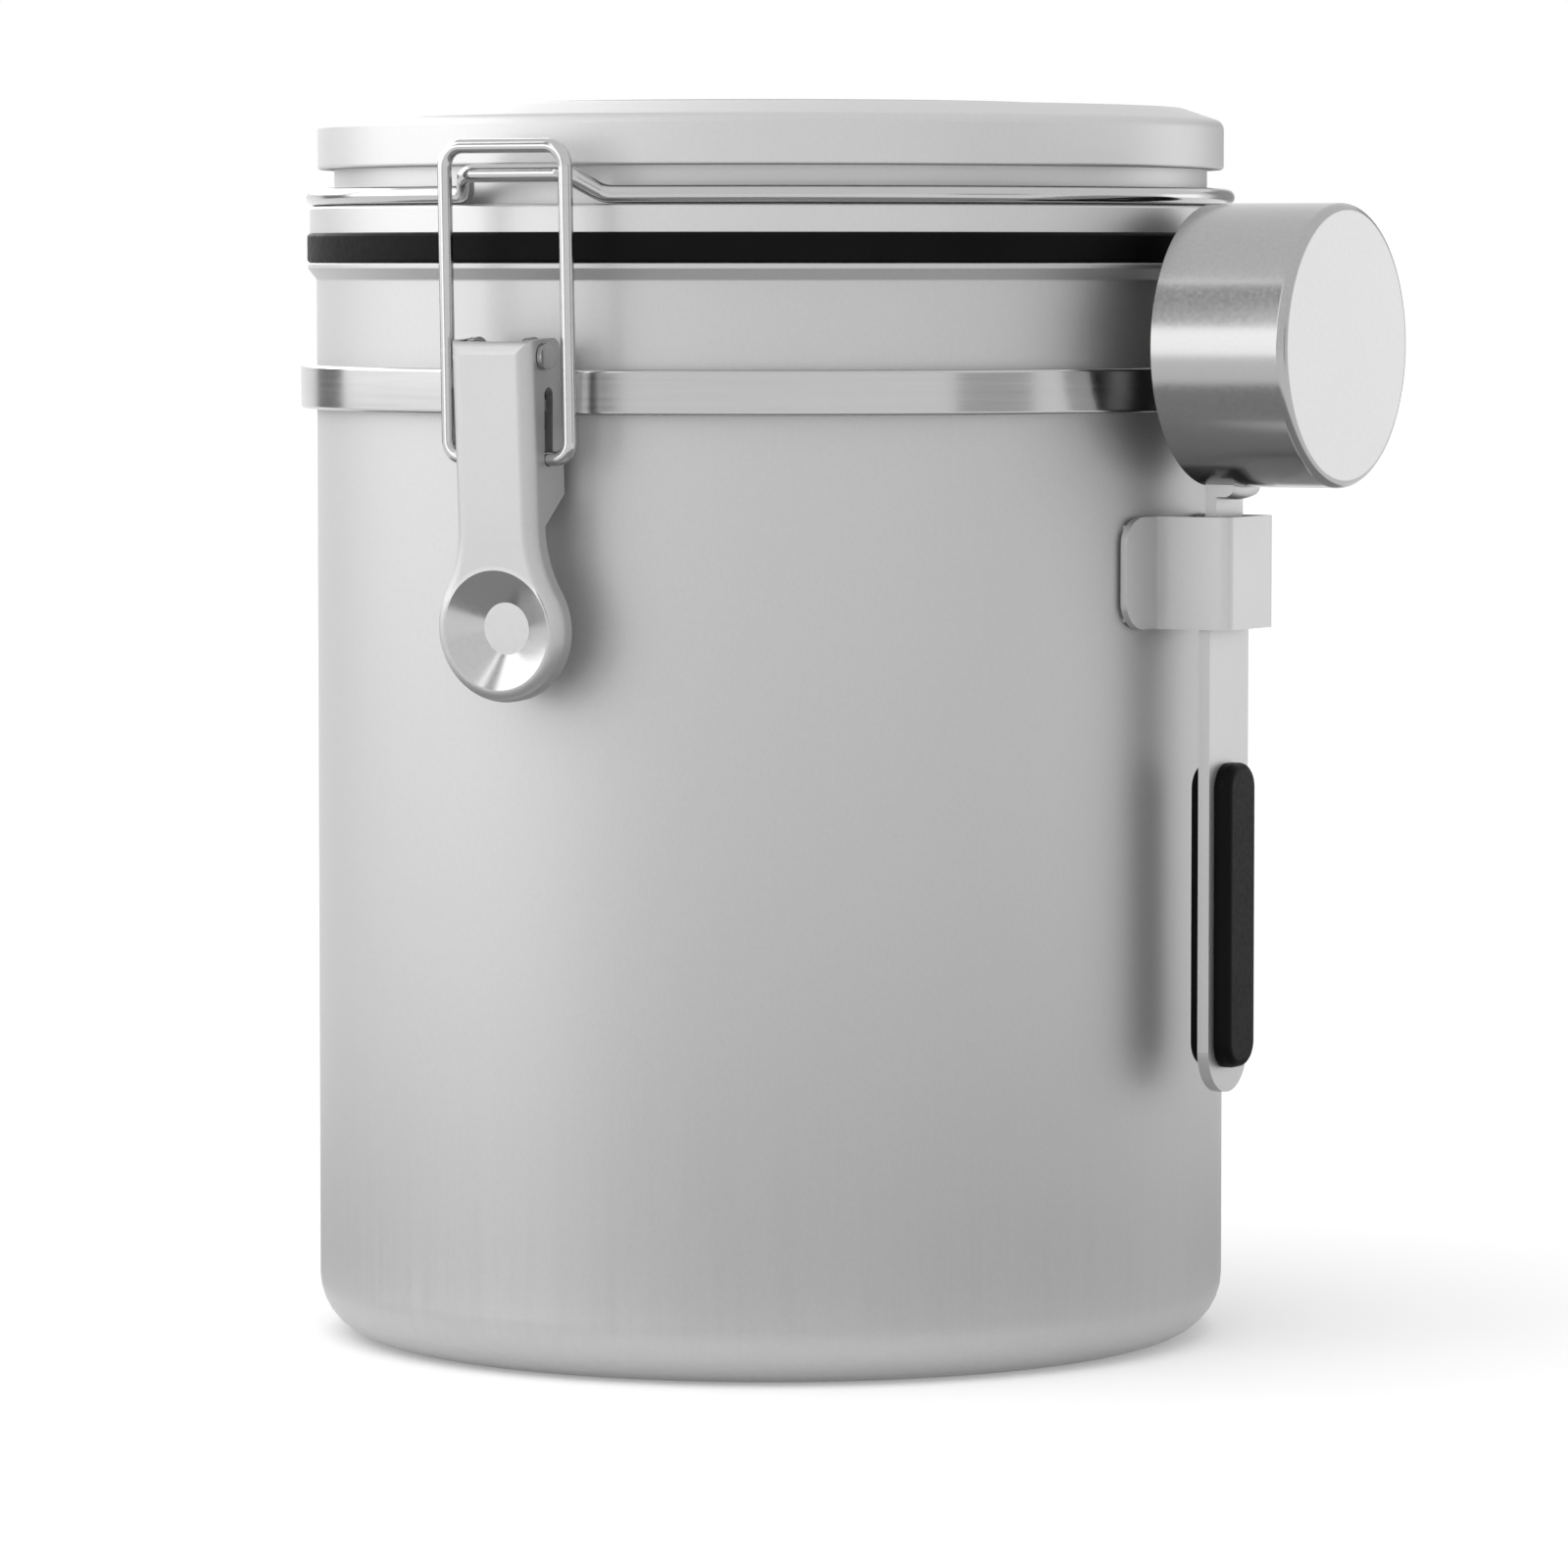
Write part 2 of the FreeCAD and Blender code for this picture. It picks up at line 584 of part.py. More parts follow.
def valve_cap():
    """The vented cap in the middle of the dials, with the stem that stops the flap."""
    cap_r = MONTH_IN_R - DIAL_FIT
    plug_r = VALVE_BORE_R - VALVE_FIT
    top = BEZEL_TOP_Z
    cap = disc(cap_r, VALVE_TOP_Z, top)
    cap = cap.makeFillet(CAP_ROUND, circles_at(cap, cap_r, top))
    skirt = ring(plug_r - VALVE_WALL, plug_r, VALVE_TOP_Z - CAP_SKIRT, VALVE_TOP_Z)
    stop = FLAP_Z + FLAP_THICK + FLAP_LIFT + VALVE_FIT
    stem = disc(CAP_STEM_R, stop, VALVE_TOP_Z)
    cap = cap.fuse(skirt).fuse(stem)
    inner = CAP_STEM_R + CAP_SLOT_INSET
    side = CAP_SLOT_WIDTH / 2
    slot = box(inner, inner + CAP_SLOT_LENGTH, -side, side, VALVE_TOP_Z - 1, top + 1)
    for cut in around_z(slot, VENT_COUNT):
        cap = cap.cut(cut)
    return cap.removeSplitter()


# Wire ring with the front catch and the rear hinge eyes

def ring_point(x, front):
    """A point of the ring's centre line at one X, on its front or its rear."""
    y = math.sqrt(RING_R ** 2 - x * x)
    return V(x, -y if front else y, RING_Z)


def ring_tangent(point):
    """The ring's direction at a point, towards smaller X."""
    along = V(-point.y, point.x, 0).normalize()
    return along * -1.0 if along.x > 0 else along


def ring_arc(side):
    """Half of the ring, from the left's rear to its front or from the right's front to its rear."""
    front = ring_point(CATCH_FOOT_X + CATCH_RUN, True)
    rear = ring_point(HINGE_EYE_X + HINGE_RUN, False)
    ends = [front, rear] if side > 0 else [V(-rear.x, rear.y, rear.z), V(-front.x, front.y, front.z)]
    return Part.Arc(ends[0], V(side * RING_R, 0, RING_Z), ends[1]).toShape()


def lid_ring():
    """One wire: hinge eye, half ring, front catch, half ring, hinge eye."""
    front = ring_point(CATCH_FOOT_X + CATCH_RUN, True)
    foot = front + ring_tangent(front) * CATCH_RUN
    shoulder = V(CATCH_HALF, -CATCH_R, CATCH_Z)
    rear = ring_point(HINGE_EYE_X + HINGE_RUN, False)
    turn = rear + ring_tangent(rear) * (HINGE_RUN / -ring_tangent(rear).x)
    eye_edge = V(turn.x, HINGE_R - (HINGE_PIN_R + HINGE_FIT + HINGE_KNUCKLE_R) / 2, RING_Z)
    arm = [rear, turn, eye_edge]
    far_arm = [V(-p.x, p.y, p.z) for p in reversed(arm)]
    edges = route_edges(far_arm, [WIRE_BEND]) + [ring_arc(-1)]
    edges += route_edges(both_sides([shoulder, foot, front]), [WIRE_BEND] * 4) + [ring_arc(1)]
    edges += route_edges(arm, [WIRE_BEND])
    wire = wire_rod(edges, RING_WIRE)
    half_eye = RING_WIRE / 2 - HINGE_EYE_FLAT
    for x in (-turn.x, turn.x):
        wire = wire.fuse(rod_x(HINGE_KNUCKLE_R, x - half_eye, x + half_eye, HINGE_R, RING_Z))
        wire = wire.cut(rod_x(HINGE_PIN_R + HINGE_FIT, x - RING_WIRE, x + RING_WIRE, HINGE_R, RING_Z))
    return wire.removeSplitter()


# Rear hinge

def hinge_bracket():
    """A plate riveted to the band that rises to a knuckle round the hinge pin."""
    low = BAND_TOP_Z - BAND_HEIGHT - HINGE_PLATE_BELOW
    shoulder_z = BAND_TOP_Z + HINGE_PLATE_BELOW
    face = PLATE_R + HINGE_PLATE
    plate = box(-HINGE_PLATE_HALF, HINGE_PLATE_HALF, PLATE_R, face, low, shoulder_z)
    corners = edges_at(plate, lambda c, e: abs(abs(c.x) - HINGE_PLATE_HALF) < 1e-6
                       and abs(e.Length - HINGE_PLATE) < 1e-6)
    plate = plate.makeFillet(HINGE_PLATE_BELOW, corners)
    half = HINGE_KNUCKLE_HALF
    turn_z = RING_Z - HINGE_KNUCKLE_R - HINGE_PLATE
    rise = box(-half, half, PLATE_R, face, shoulder_z - HINGE_PLATE_BELOW, turn_z)
    corners = [(PLATE_R, turn_z), (face, turn_z - HINGE_PLATE),
               (HINGE_R + HINGE_PLATE, RING_Z - HINGE_KNUCKLE_R + HINGE_PLATE), (HINGE_R, RING_Z),
               (HINGE_R - HINGE_PIN_R, RING_Z), (PLATE_R, turn_z)]
    lean = Part.Face(Part.makePolygon([V(-half, y, z) for y, z in corners])).extrude(V(2 * half, 0, 0))
    knuckle = rod_x(HINGE_KNUCKLE_R, -half, half, HINGE_R, RING_Z)
    bracket = plate.fuse([rise, lean, knuckle]).cut(rod_x(HINGE_PIN_R, -half - 1, half + 1, HINGE_R, RING_Z))
    for x in hinge_rivet_places():
        bracket = bracket.cut(rod_y(HINGE_RIVET_R, PLATE_R - 1, face + 1, x, BAND_MID_Z))
    return bracket.removeSplitter()


def headed_pin(r, head_r, head, half, y, z):
    """A pin along X with a low head at each end."""
    pin = rod_x(r, -half, half, y, z)
    for side in (-1, 1):
        pin = pin.fuse(rod_x(head_r, *sorted((side * half, side * (half + head))), y, z))
    return pin.removeSplitter()


def hinge_pin():
    half = HINGE_EYE_X + RING_WIRE / 2 + HINGE_FIT
    return headed_pin(HINGE_PIN_R, HINGE_PIN_HEAD_R, HINGE_PIN_HEAD, half, HINGE_R, RING_Z)


# Toggle latch

def lever_outline(inset):
    """The lever's outline in X and Z: a strap that flares into a round thumb disc."""
    half = LEVER_HALF - inset
    disc_r = LEVER_DISC_R - inset
    neck_r = LEVER_NECK_R + inset
    reach = neck_r + disc_r
    across = half + neck_r
    rise = math.sqrt(reach ** 2 - across ** 2)
    flare_z = LEVER_DISC_Z + rise
    touch = V(across * disc_r / reach, 0, LEVER_DISC_Z + rise * disc_r / reach)
    mid_angle = math.atan2(rise, across) / 2
    mid = V(across - neck_r * math.cos(mid_angle), 0, flare_z - neck_r * math.sin(mid_angle))
    top = LEVER_TOP_Z - inset
    left_touch, left_mid = V(-touch.x, 0, touch.z), V(-mid.x, 0, mid.z)
    return Part.Wire([
        Part.LineSegment(V(-half, 0, top), V(half, 0, top)).toShape(),
        Part.LineSegment(V(half, 0, top), V(half, 0, flare_z)).toShape(),
        Part.Arc(V(half, 0, flare_z), mid, touch).toShape(),
        Part.Arc(touch, V(0, 0, LEVER_DISC_Z - disc_r), left_touch).toShape(),
        Part.Arc(left_touch, left_mid, V(-half, 0, flare_z)).toShape(),
        Part.LineSegment(V(-half, 0, flare_z), V(-half, 0, top)).toShape()])


def slab(wire, r_in, r_out):
    """A flat outline given depth towards -Y, between two distances from the axis."""
    face = Part.Face(wire)
    face.translate(V(0, -r_in, 0))
    return face.extrude(V(0, r_in - r_out, 0))


def latch_lever():
    """A pressed lever: a shallow tray with a dished thumb disc and two cheeks for the pivots, leaning in."""
    face_in = LEVER_FACE_R - LEVER_SHEET
    tray_in = LEVER_FACE_R - LEVER_TRAY_DEPTH
    cheek_in = PIVOT_R - LEVER_CHEEK_IN
    cheek_low = PIVOT_Z - LEVER_CHEEK_DROP
    bevel_z = cheek_low - LEVER_CHEEK_BEVEL
    side_in = LEVER_HALF - LEVER_SHEET
    tray = slab(lever_outline(0.0), tray_in, LEVER_FACE_R)
    front = edges_at(tray, lambda c, e: abs(c.y + LEVER_FACE_R) < 1e-6)
    tray = tray.makeFillet(LEVER_BEND, front)
    tray = tray.cut(slab(lever_outline(LEVER_SHEET), tray_in - 1, face_in))
    tray = tray.cut(box(-side_in, side_in, -face_in, 1 - tray_in, cheek_low, LEVER_TOP_Z + 1))
    corners = [(-cheek_in, LEVER_TOP_Z), (-tray_in, LEVER_TOP_Z), (-tray_in, bevel_z),
               (-cheek_in, cheek_low), (-cheek_in, LEVER_TOP_Z)]
    cheek = Part.Face(Part.makePolygon([V(side_in, y, z) for y, z in corners])).extrude(V(LEVER_SHEET, 0, 0))
    corner = edges_at(cheek, lambda c, e: abs(c.y + cheek_in) < 1e-6 and abs(c.z - LEVER_TOP_Z) < 1e-6)
    cheek = cheek.makeFillet(LEVER_TOP_CORNER, corner)
    lever = tray.fuse([cheek, mirrored_x(cheek)])
    dish = V(0, -LEVER_FACE_R, LEVER_DISC_Z)
    back = V(0, -face_in, LEVER_DISC_Z)
    bowl_out = Part.makeCone(DIMPLE_R, DIMPLE_FLAT_R + LEVER_SHEET, DIMPLE_DEPTH, back, V(0, 1, 0))
    bowl_in = Part.makeCone(DIMPLE_R - LEVER_SHEET / 2, DIMPLE_FLAT_R, DIMPLE_DEPTH, dish, V(0, 1, 0))
    lever = lever.fuse(bowl_out).cut(bowl_in)
    lever.rotate(V(0, -PIVOT_R, PIVOT_Z), V(1, 0, 0), LEVER_TILT)
    reach = LEVER_HALF + 1
    lever = lever.cut(rod_x(PIVOT_PIN_R + PIVOT_FIT, -reach, reach, -PIVOT_R, PIVOT_Z))
    return lever.cut(bail_slot(reach)).removeSplitter()


def bail_slot(reach):
    """The upright slot through both cheeks; the bail's ends turn at its lower end."""
    radius = BAIL_WIRE / 2 + BAIL_HOLE_FIT
    high = BAIL_FOOT_Z + BAIL_SLOT_HEIGHT
    slot = box(-reach, reach, -BAIL_FOOT_R - radius, -BAIL_FOOT_R + radius, BAIL_FOOT_Z, high)
    ends = [rod_x(radius, -reach, reach, -BAIL_FOOT_R, z) for z in (BAIL_FOOT_Z, high)]
    return slot.fuse(ends).removeSplitter()


def latch_bracket():
    """A bent bracket riveted to the band, with two ears for the lever's pin."""
    face = PLATE_R + BRACKET_SHEET
    plate = box(-BRACKET_HALF, BRACKET_HALF, -face, -PLATE_R, BRACKET_BOTTOM_Z, BRACKET_TOP_Z)
    ear_in = BRACKET_HALF - BRACKET_SHEET
    slope_z = PIVOT_Z - BRACKET_EAR_R
    foot_z = BRACKET_BOTTOM_Z + BRACKET_EAR_R
    corners = [(-face, foot_z), (-face, BRACKET_TOP_Z), (-PIVOT_R, BRACKET_TOP_Z),
               (-PIVOT_R - BRACKET_EAR_R, PIVOT_Z), (-PIVOT_R, slope_z), (-face, foot_z)]
    web = Part.Face(Part.makePolygon([V(ear_in, y, z) for y, z in corners])).extrude(V(BRACKET_SHEET, 0, 0))
    round_end = rod_x(BRACKET_EAR_R, ear_in, BRACKET_HALF, -PIVOT_R, PIVOT_Z)
    ear = web.fuse(round_end)
    bracket = plate.fuse([ear, mirrored_x(ear)])
    bracket = bracket.cut(rod_x(PIVOT_PIN_R, -BRACKET_HALF - 1, BRACKET_HALF + 1, -PIVOT_R, PIVOT_Z))
    for x in latch_rivet_places():
        bracket = bracket.cut(rod_y(LATCH_RIVET_R, -face - 1, -PLATE_R + 1, x, BAND_MID_Z))
    return bracket.removeSplitter()


def lever_pin():
    return headed_pin(PIVOT_PIN_R, PIVOT_HEAD_R, PIVOT_HEAD, LEVER_HALF + PIVOT_FIT, -PIVOT_R, PIVOT_Z)


def latch_bail():
    """The wire loop that reaches over the lid's catch, with two inturned ends in the lever's cheeks."""
    foot_end = V(BRACKET_HALF + BAIL_END_GAP, -BAIL_FOOT_R, BAIL_FOOT_Z)
    foot = V(BAIL_HALF, -BAIL_FOOT_R, BAIL_FOOT_Z)
    top = V(BAIL_HALF, -BAIL_TOP_R, BAIL_TOP_Z)
    bends = [BAIL_FOOT_BEND, BAIL_CORNER, BAIL_CORNER, BAIL_FOOT_BEND]
    return wire_rod(route_edges(both_sides([top, foot, foot_end]), bends), BAIL_WIRE)


# Scoop clip

def rounded_block(x0, x1, half, z0, z1, corner):
    """A block along X with its four long edges rounded."""
    block = box(x0, x1, -half, half, z0, z1)
    along_x = edges_at(block, lambda c, e: abs(e.Length - (x1 - x0)) < 1e-6
                       and abs(abs(c.y) - half) < 1e-6 and min(abs(c.z - z0), abs(c.z - z1)) < 1e-6)
    return block.makeFillet(corner, along_x)


def scoop_clip():
    """A bent strap: two tabs on the shell and a loop that takes the scoop's handle."""
    top = CLIP_TOP_Z
    tab_in = BODY_R + PAD_THICK
    tab_out = tab_in + CLIP_SHEET
    outer_half = CLIP_INNER_HALF + CLIP_SHEET
    tabs = ring(tab_in, tab_out, CLIP_BOTTOM_Z, top)
    tabs = tabs.common(rounded_block(BODY_R / 2, tab_out + 1, CLIP_TAB_HALF, CLIP_BOTTOM_Z, top, CLIP_CORNER))
    loop = box(BODY_R / 2, CLIP_FACE_X + CLIP_SHEET, -outer_half, outer_half, CLIP_BOTTOM_Z, top)
    loop = loop.makeFillet(CLIP_BEND, upright(loop, lambda c: c.x > CLIP_FACE_X))
    loop = loop.cut(disc(tab_in, CLIP_BOTTOM_Z - 1, top + 1))
    hollow = box(BODY_R / 2, CLIP_FACE_X, -CLIP_INNER_HALF, CLIP_INNER_HALF, CLIP_BOTTOM_Z - 1, top + 1)
    hollow = hollow.makeFillet(CLIP_INNER_BEND, upright(hollow, lambda c: c.x > CLIP_FACE_X - 1))
    return tabs.fuse(loop).cut(hollow).removeSplitter()


def clip_pads():
    """Adhesive pads between the clip's tabs and the shell."""
    low = CLIP_BOTTOM_Z + PAD_INSET
    high = CLIP_TOP_Z - PAD_INSET
    sleeve = ring(BODY_R + WELD_GAP, BODY_R + PAD_THICK, low, high)
    y0 = CLIP_INNER_HALF + CLIP_SHEET
    y1 = CLIP_TAB_HALF - PAD_INSET
    pads = [sleeve.common(box(0, BODY_R + 1, *sorted((side * y0, side * y1)), low, high)) for side in (-1, 1)]
    return Part.makeCompound(pads)


# Scoop

def cup_solid(r, x0, x1, edge):
    """A short cylinder along X with its far edge rounded."""
    cup = rod_x(r, x0, x1, 0, CUP_Z)
    far = edges_at(cup, lambda c, e: abs(c.x - x1) < 1e-6 and e.Length > r * 4)
    return cup.makeFillet(edge, far)


def scoop_cup():
    end = CUP_RIM_X + CUP_DEPTH
    return cup_solid(CUP_R, CUP_RIM_X, end, CUP_EDGE).cut(
        cup_solid(CUP_R - CUP_WALL, CUP_RIM_X - 1, end - CUP_WALL, CUP_EDGE - CUP_WALL))


def grip_slot(inset, x0, x1):
    """A stadium-shaped block through the handle, for the grip's web."""
    half = GRIP_SLOT_HALF - inset
    low = GRIP_BOTTOM_Z + GRIP_SLOT_INSET + half
    high = GRIP_TOP_Z - GRIP_SLOT_INSET - half
    block = box(x0, x1, -half, half, low, high)
    return block.fuse([rod_x(half, x0, x1, 0, low), rod_x(half, x0, x1, 0, high)]).removeSplitter()


def scoop_handle():
    """A flat strip with a narrower neck, a rounded end and a saddle welded under the cup."""
    x0, x1 = HANDLE_X, HANDLE_X + HANDLE_THICK
    neck_z = CLIP_TOP_Z
    top = CUP_Z - CUP_R
    tip_z = HANDLE_TIP_Z + HANDLE_HALF
    shoulder_z = neck_z - NECK_SHOULDER
    strip = box(x0, x1, -HANDLE_HALF, HANDLE_HALF, tip_z, shoulder_z)
    strip = strip.fuse(rod_x(HANDLE_HALF, x0, x1, 0, tip_z))
    corners = [(-HANDLE_HALF, shoulder_z), (HANDLE_HALF, shoulder_z), (NECK_HALF, neck_z),
               (-NECK_HALF, neck_z), (-HANDLE_HALF, shoulder_z)]
    taper = Part.Face(Part.makePolygon([V(x0, y, z) for y, z in corners])).extrude(V(HANDLE_THICK, 0, 0))
    neck = box(x0, x1, -NECK_HALF, NECK_HALF, neck_z, top)
    saddle_end = x0 + SADDLE_LENGTH
    saddle = rod_x(CUP_R + SADDLE_THICK, x0, saddle_end, 0, CUP_Z)
    rim = edges_at(saddle, lambda c, e: abs(c.x - saddle_end) < 1e-6 and e.Length > CUP_R * 4)
    saddle = saddle.makeFillet(SADDLE_ROUND, rim)
    saddle = saddle.common(box(x0, saddle_end, -NECK_HALF, NECK_HALF, top - 2 * SADDLE_THICK, CUP_Z))
    handle = strip.fuse([taper, neck, saddle])
    handle = handle.cut(rod_x(CUP_R + WELD_GAP, x0 - 1, x0 + SADDLE_LENGTH + 1, 0, CUP_Z))
    return handle.cut(grip_slot(0.0, x0 - 1, x1 + 1)).removeSplitter()


def scoop_grip():
    """A soft grip on both faces of the handle, joined through its slot."""
    x0, x1 = HANDLE_X, HANDLE_X + HANDLE_THICK
    pads = []
    for near, far in ((x1 + WELD_GAP, x1 + GRIP_PROUD), (x0 - WELD_GAP, x0 - GRIP_PROUD)):
        low, high = sorted((near, far))
        pad = rounded_block(low, high, GRIP_HALF, GRIP_BOTTOM_Z, GRIP_TOP_Z, GRIP_CORNER)
        rim = edges_at(pad, lambda c, e: abs(c.x - far) < 1e-6)
        pads.append(pad.makeFillet(GRIP_EDGE, rim))
    web = grip_slot(WELD_GAP, x0 - WELD_GAP, x1 + WELD_GAP)
    return pads[0].fuse([pads[1], web]).removeSplitter()


PIECES = {
    "canister_body": canister_body,
    "clamp_band": clamp_band,
    "gasket": gasket,
    "lid_base": lid_base,
    "lid_cap": lid_cap,
    "lid_liner": lid_liner,
    "dial_base": dial_base,
    "liner_screws": liner_screws,
    "day_dial": lambda: dial_ring(DAY_IN_R, DAY_OUT_R, 90),
    "month_dial": lambda: dial_ring(MONTH_IN_R, MONTH_OUT_R, 90),
    "valve_housing": valve_housing,
    "valve_flap": valve_flap,
    "valve_filter": valve_filter,
    "valve_cap": valve_cap,
    "lid_ring": lid_ring,
    "hinge_bracket": hinge_bracket,
    "hinge_pin": hinge_pin,
    "hinge_rivets": hinge_rivets,
    "latch_lever": latch_lever,
    "latch_bracket": latch_bracket,
    "latch_rivets": latch_rivets,
    "lever_pin": lever_pin,
    "latch_bail": latch_bail,
    "scoop_clip": scoop_clip,
    "clip_pads": clip_pads,
    "scoop_cup": scoop_cup,
    "scoop_handle": scoop_handle,
    "scoop_grip": scoop_grip,
}


def main():
    os.makedirs("parts", exist_ok=True)
    for name, make in PIECES.items():
        shape = make()
        print(name, "solids", len(shape.Solids), "valid", shape.isValid(), "volume", round(shape.Volume, 1))
        shape.exportStep(os.path.join("parts", name + ".step"))


main()
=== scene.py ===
"""Looks of the clamp-lid food canister: turned shells, wires, finishes, dial numbers and a white studio.

Metres, +Z up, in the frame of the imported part. The latch faces -Y, the lid hinge is at +Y and the scoop
is at +X.
"""
import json
import math

import bmesh
import bpy
from mathutils import Matrix, Vector


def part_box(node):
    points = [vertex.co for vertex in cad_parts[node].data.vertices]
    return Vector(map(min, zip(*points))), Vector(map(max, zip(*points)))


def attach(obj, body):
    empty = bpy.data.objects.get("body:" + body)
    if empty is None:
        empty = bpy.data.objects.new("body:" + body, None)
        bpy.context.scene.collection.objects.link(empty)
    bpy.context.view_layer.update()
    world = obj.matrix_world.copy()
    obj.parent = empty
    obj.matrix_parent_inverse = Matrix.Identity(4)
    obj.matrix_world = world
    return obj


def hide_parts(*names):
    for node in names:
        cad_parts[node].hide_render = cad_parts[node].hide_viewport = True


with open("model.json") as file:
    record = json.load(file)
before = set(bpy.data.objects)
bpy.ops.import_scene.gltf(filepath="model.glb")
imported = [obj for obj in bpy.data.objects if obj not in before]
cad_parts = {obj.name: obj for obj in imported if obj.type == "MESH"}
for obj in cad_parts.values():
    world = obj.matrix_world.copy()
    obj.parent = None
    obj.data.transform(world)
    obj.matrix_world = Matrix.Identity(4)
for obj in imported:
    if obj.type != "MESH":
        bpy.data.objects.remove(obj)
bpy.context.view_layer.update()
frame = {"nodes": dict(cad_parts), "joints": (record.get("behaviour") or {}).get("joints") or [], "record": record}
MM = 0.001

# Lays a piece's own Z axis along X
ALONG_X = Matrix.Rotation(math.pi / 2, 4, "Y")

# Fineness of the turned and bent meshes, with lengths in millimetres
SEGMENTS = 256
ARC_STEP = math.radians(12.0)
SHARP_ANGLE = math.radians(32.0)
WIRE_BEVEL_STEPS = 6
MERGE_DISTANCE = 1e-5
ON_AXIS = 1e-6

# Sheet thicknesses and roundings of the turned pieces, in millimetres
BODY_WALL = 0.8
BASE_ROUND = 9.0
RIM_PROUD = 1.3
RIM_EDGE = 0.8
RIM_SLOPE = 1.7
RIM_FOOT_ROUND = 0.6
RIM_ROUND = 0.3
MOUTH_ROUND = 0.1
BAND_SHEET = 0.8
BAND_PROUD = 2.35
GASKET_WIDTH = 9.7
GASKET_ROUND = 0.6
LID_SHEET = 0.8
NECK_HEIGHT = 4.0
GROOVE_DEPTH = 3.7
SEAM_LIP = 1.4
SEAM_GAP = 0.05
CAP_CHAMFER_IN = 6.2
CAP_CHAMFER_RISE = 2.1
CAP_ROUND = 1.6
DIAL_HOLE_R = 41.0
EDGE_ROUND = 0.5
CUP_WALL = 0.6
CUP_EDGE = 1.3
CUP_LIP_ROUND = 0.2

# Polished dish in the lever's disc, in millimetres
DISH_R = 8.9
DISH_EDGE = 0.2
DISH_SETBACK = 2.5

# Wires, in millimetres
RING_WIRE = 2.6
WIRE_BEND = 2.8
RING_INSET = 0.8
CATCH_HALF = 8.3
CATCH_FOOT_X = 11.5
CATCH_RUN = 5.0
HINGE_EYE_X = 6.5
HINGE_RUN = 5.5
EYE_OUT_R = 2.9
EYE_BORE_R = 1.35
EYE_FLAT = 0.15
EYE_ROUND = 0.4
BAIL_WIRE = 2.1
BAIL_CORNER = 3.0
BAIL_END_X = 5.3
BAIL_FOOT_BEND = 2.4

# Dial numbers, with lengths in millimetres
DAYS = 31
MONTHS = 12
NUMBER_SIZE = 3.7
NUMBER_PROUD = 0.03
DAY_NUMBER_INSET = 3.4
MONTH_NUMBER_INSET = 3.3

# Grain of the finishes: stretch along X, Y and Z, noise scales, and bump depths in metres
SPECK_GRAIN = (2200.0, 2200.0, 1800.0)
STREAK_GRAIN = (700.0, 700.0, 22.0)
ROUND_GRAIN = (25.0, 25.0, 1500.0)
FINE_GRAIN = (1600.0, 1600.0, 1600.0)
CLOUD_SCALE = 28.0
DUST_SCALE = 60.0
MOULD_SCALE = 2600.0
FLOW_SCALE = 35.0
FIBRE_SCALE = 3500.0
GRAIN_DEPTH = 0.00003
PEBBLE_DEPTH = 0.0001
MOULD_DEPTH = 0.00005
FIBRE_DEPTH = 0.0002

# The useful range of the noise, and how far it moves the tint, the roughness and the bump of a finish
NOISE_LOW = 0.3
NOISE_MIDDLE = 0.5
NOISE_HIGH = 0.7
STEEL_TINT = 0.012
STEEL_GLOSS = 0.02
SATIN_BUMP = 0.05
STREAK_TINT = 0.016
STREAK_GLOSS = 0.03
STREAK_BUMP = 0.10
DUST_SHARE = 0.3
PEBBLE_GLOSS = 0.06
MOULD_GLOSS = 0.05
MOULD_BUMP = 0.15
FELT_TINT = 0.06
FELT_SMOOTHEST = 0.85
FELT_ROUGHEST = 0.98
FIBRE_BUMP = 0.5

# Drawn streaks of the body: full up to the low height and faint from the high one, in metres
STREAK_LOW = 0.010
STREAK_HIGH = 0.055
STREAK_FULL = 0.8
STREAK_FAINT = 0.08

# Shares of metal, mirror and sheen
SATIN_METALLIC = 0.90
BODY_METALLIC = 0.82
RUBBER_SPECULAR = 0.06
FELT_SHEEN = 0.3

# Camera: the photograph's view
VIEW_AZIMUTH = math.radians(30.0)
VIEW_DISTANCE = 1.180
VIEW_END = 20.0
EYE_HEIGHT = 0.161
AIM_HEIGHT = 0.0826
AIM_RIGHT = 0.0020
LENS_MM = 179.4
SENSOR_MM = 36.0

# Studio, in metres and degrees from the camera: light, floor and panels that only mirror rays see
FILL = 0.55
FLOOR_REACH = 8.0
FLOOR_GREY = 0.88
FLOOR_LIFT = 0.22
KEY_ANGLE = -40.0
KEY_RISE = 70.0
KEY_STRENGTH = 1.5
KEY_SPREAD = 70.0
PANEL_DISTANCE = 1.15
PANEL_FACET = 4.0
PANELS = (
    # angle, width, low edge, high edge, radiance
    (-58.0, 28.0, 0.0, 1.40, 2.25),  # soft box, left of the camera
    (-99.0, 54.0, 0.14, 1.40, 2.40),  # soft box, left
    (-155.0, 46.0, 0.30, 0.95, 3.60),  # soft box, left rear
    (-134.0, 18.0, 0.02, 0.28, 0.25),  # dark card, left rear
    (-41.0, 10.0, 0.02, 0.26, 0.45),  # grey card, left of the camera
    (-60.0, 16.0, 0.42, 1.30, 0.45),  # grey card, left and high
    (54.0, 20.0, 0.02, 0.28, 0.60),  # grey card, right of the camera
    (120.0, 20.0, 0.0, 0.36, 1.80),  # soft box, right rear
    (152.0, 28.0, 0.0, 0.50, 0.35),  # dark card, right rear
)
CARD_STEP = 0.05
LOW_CARD_IN = 0.085
LOW_CARD_OUT = 0.26
LOW_CARD_RISE = 0.002
LOW_CARD_SIDES = 64
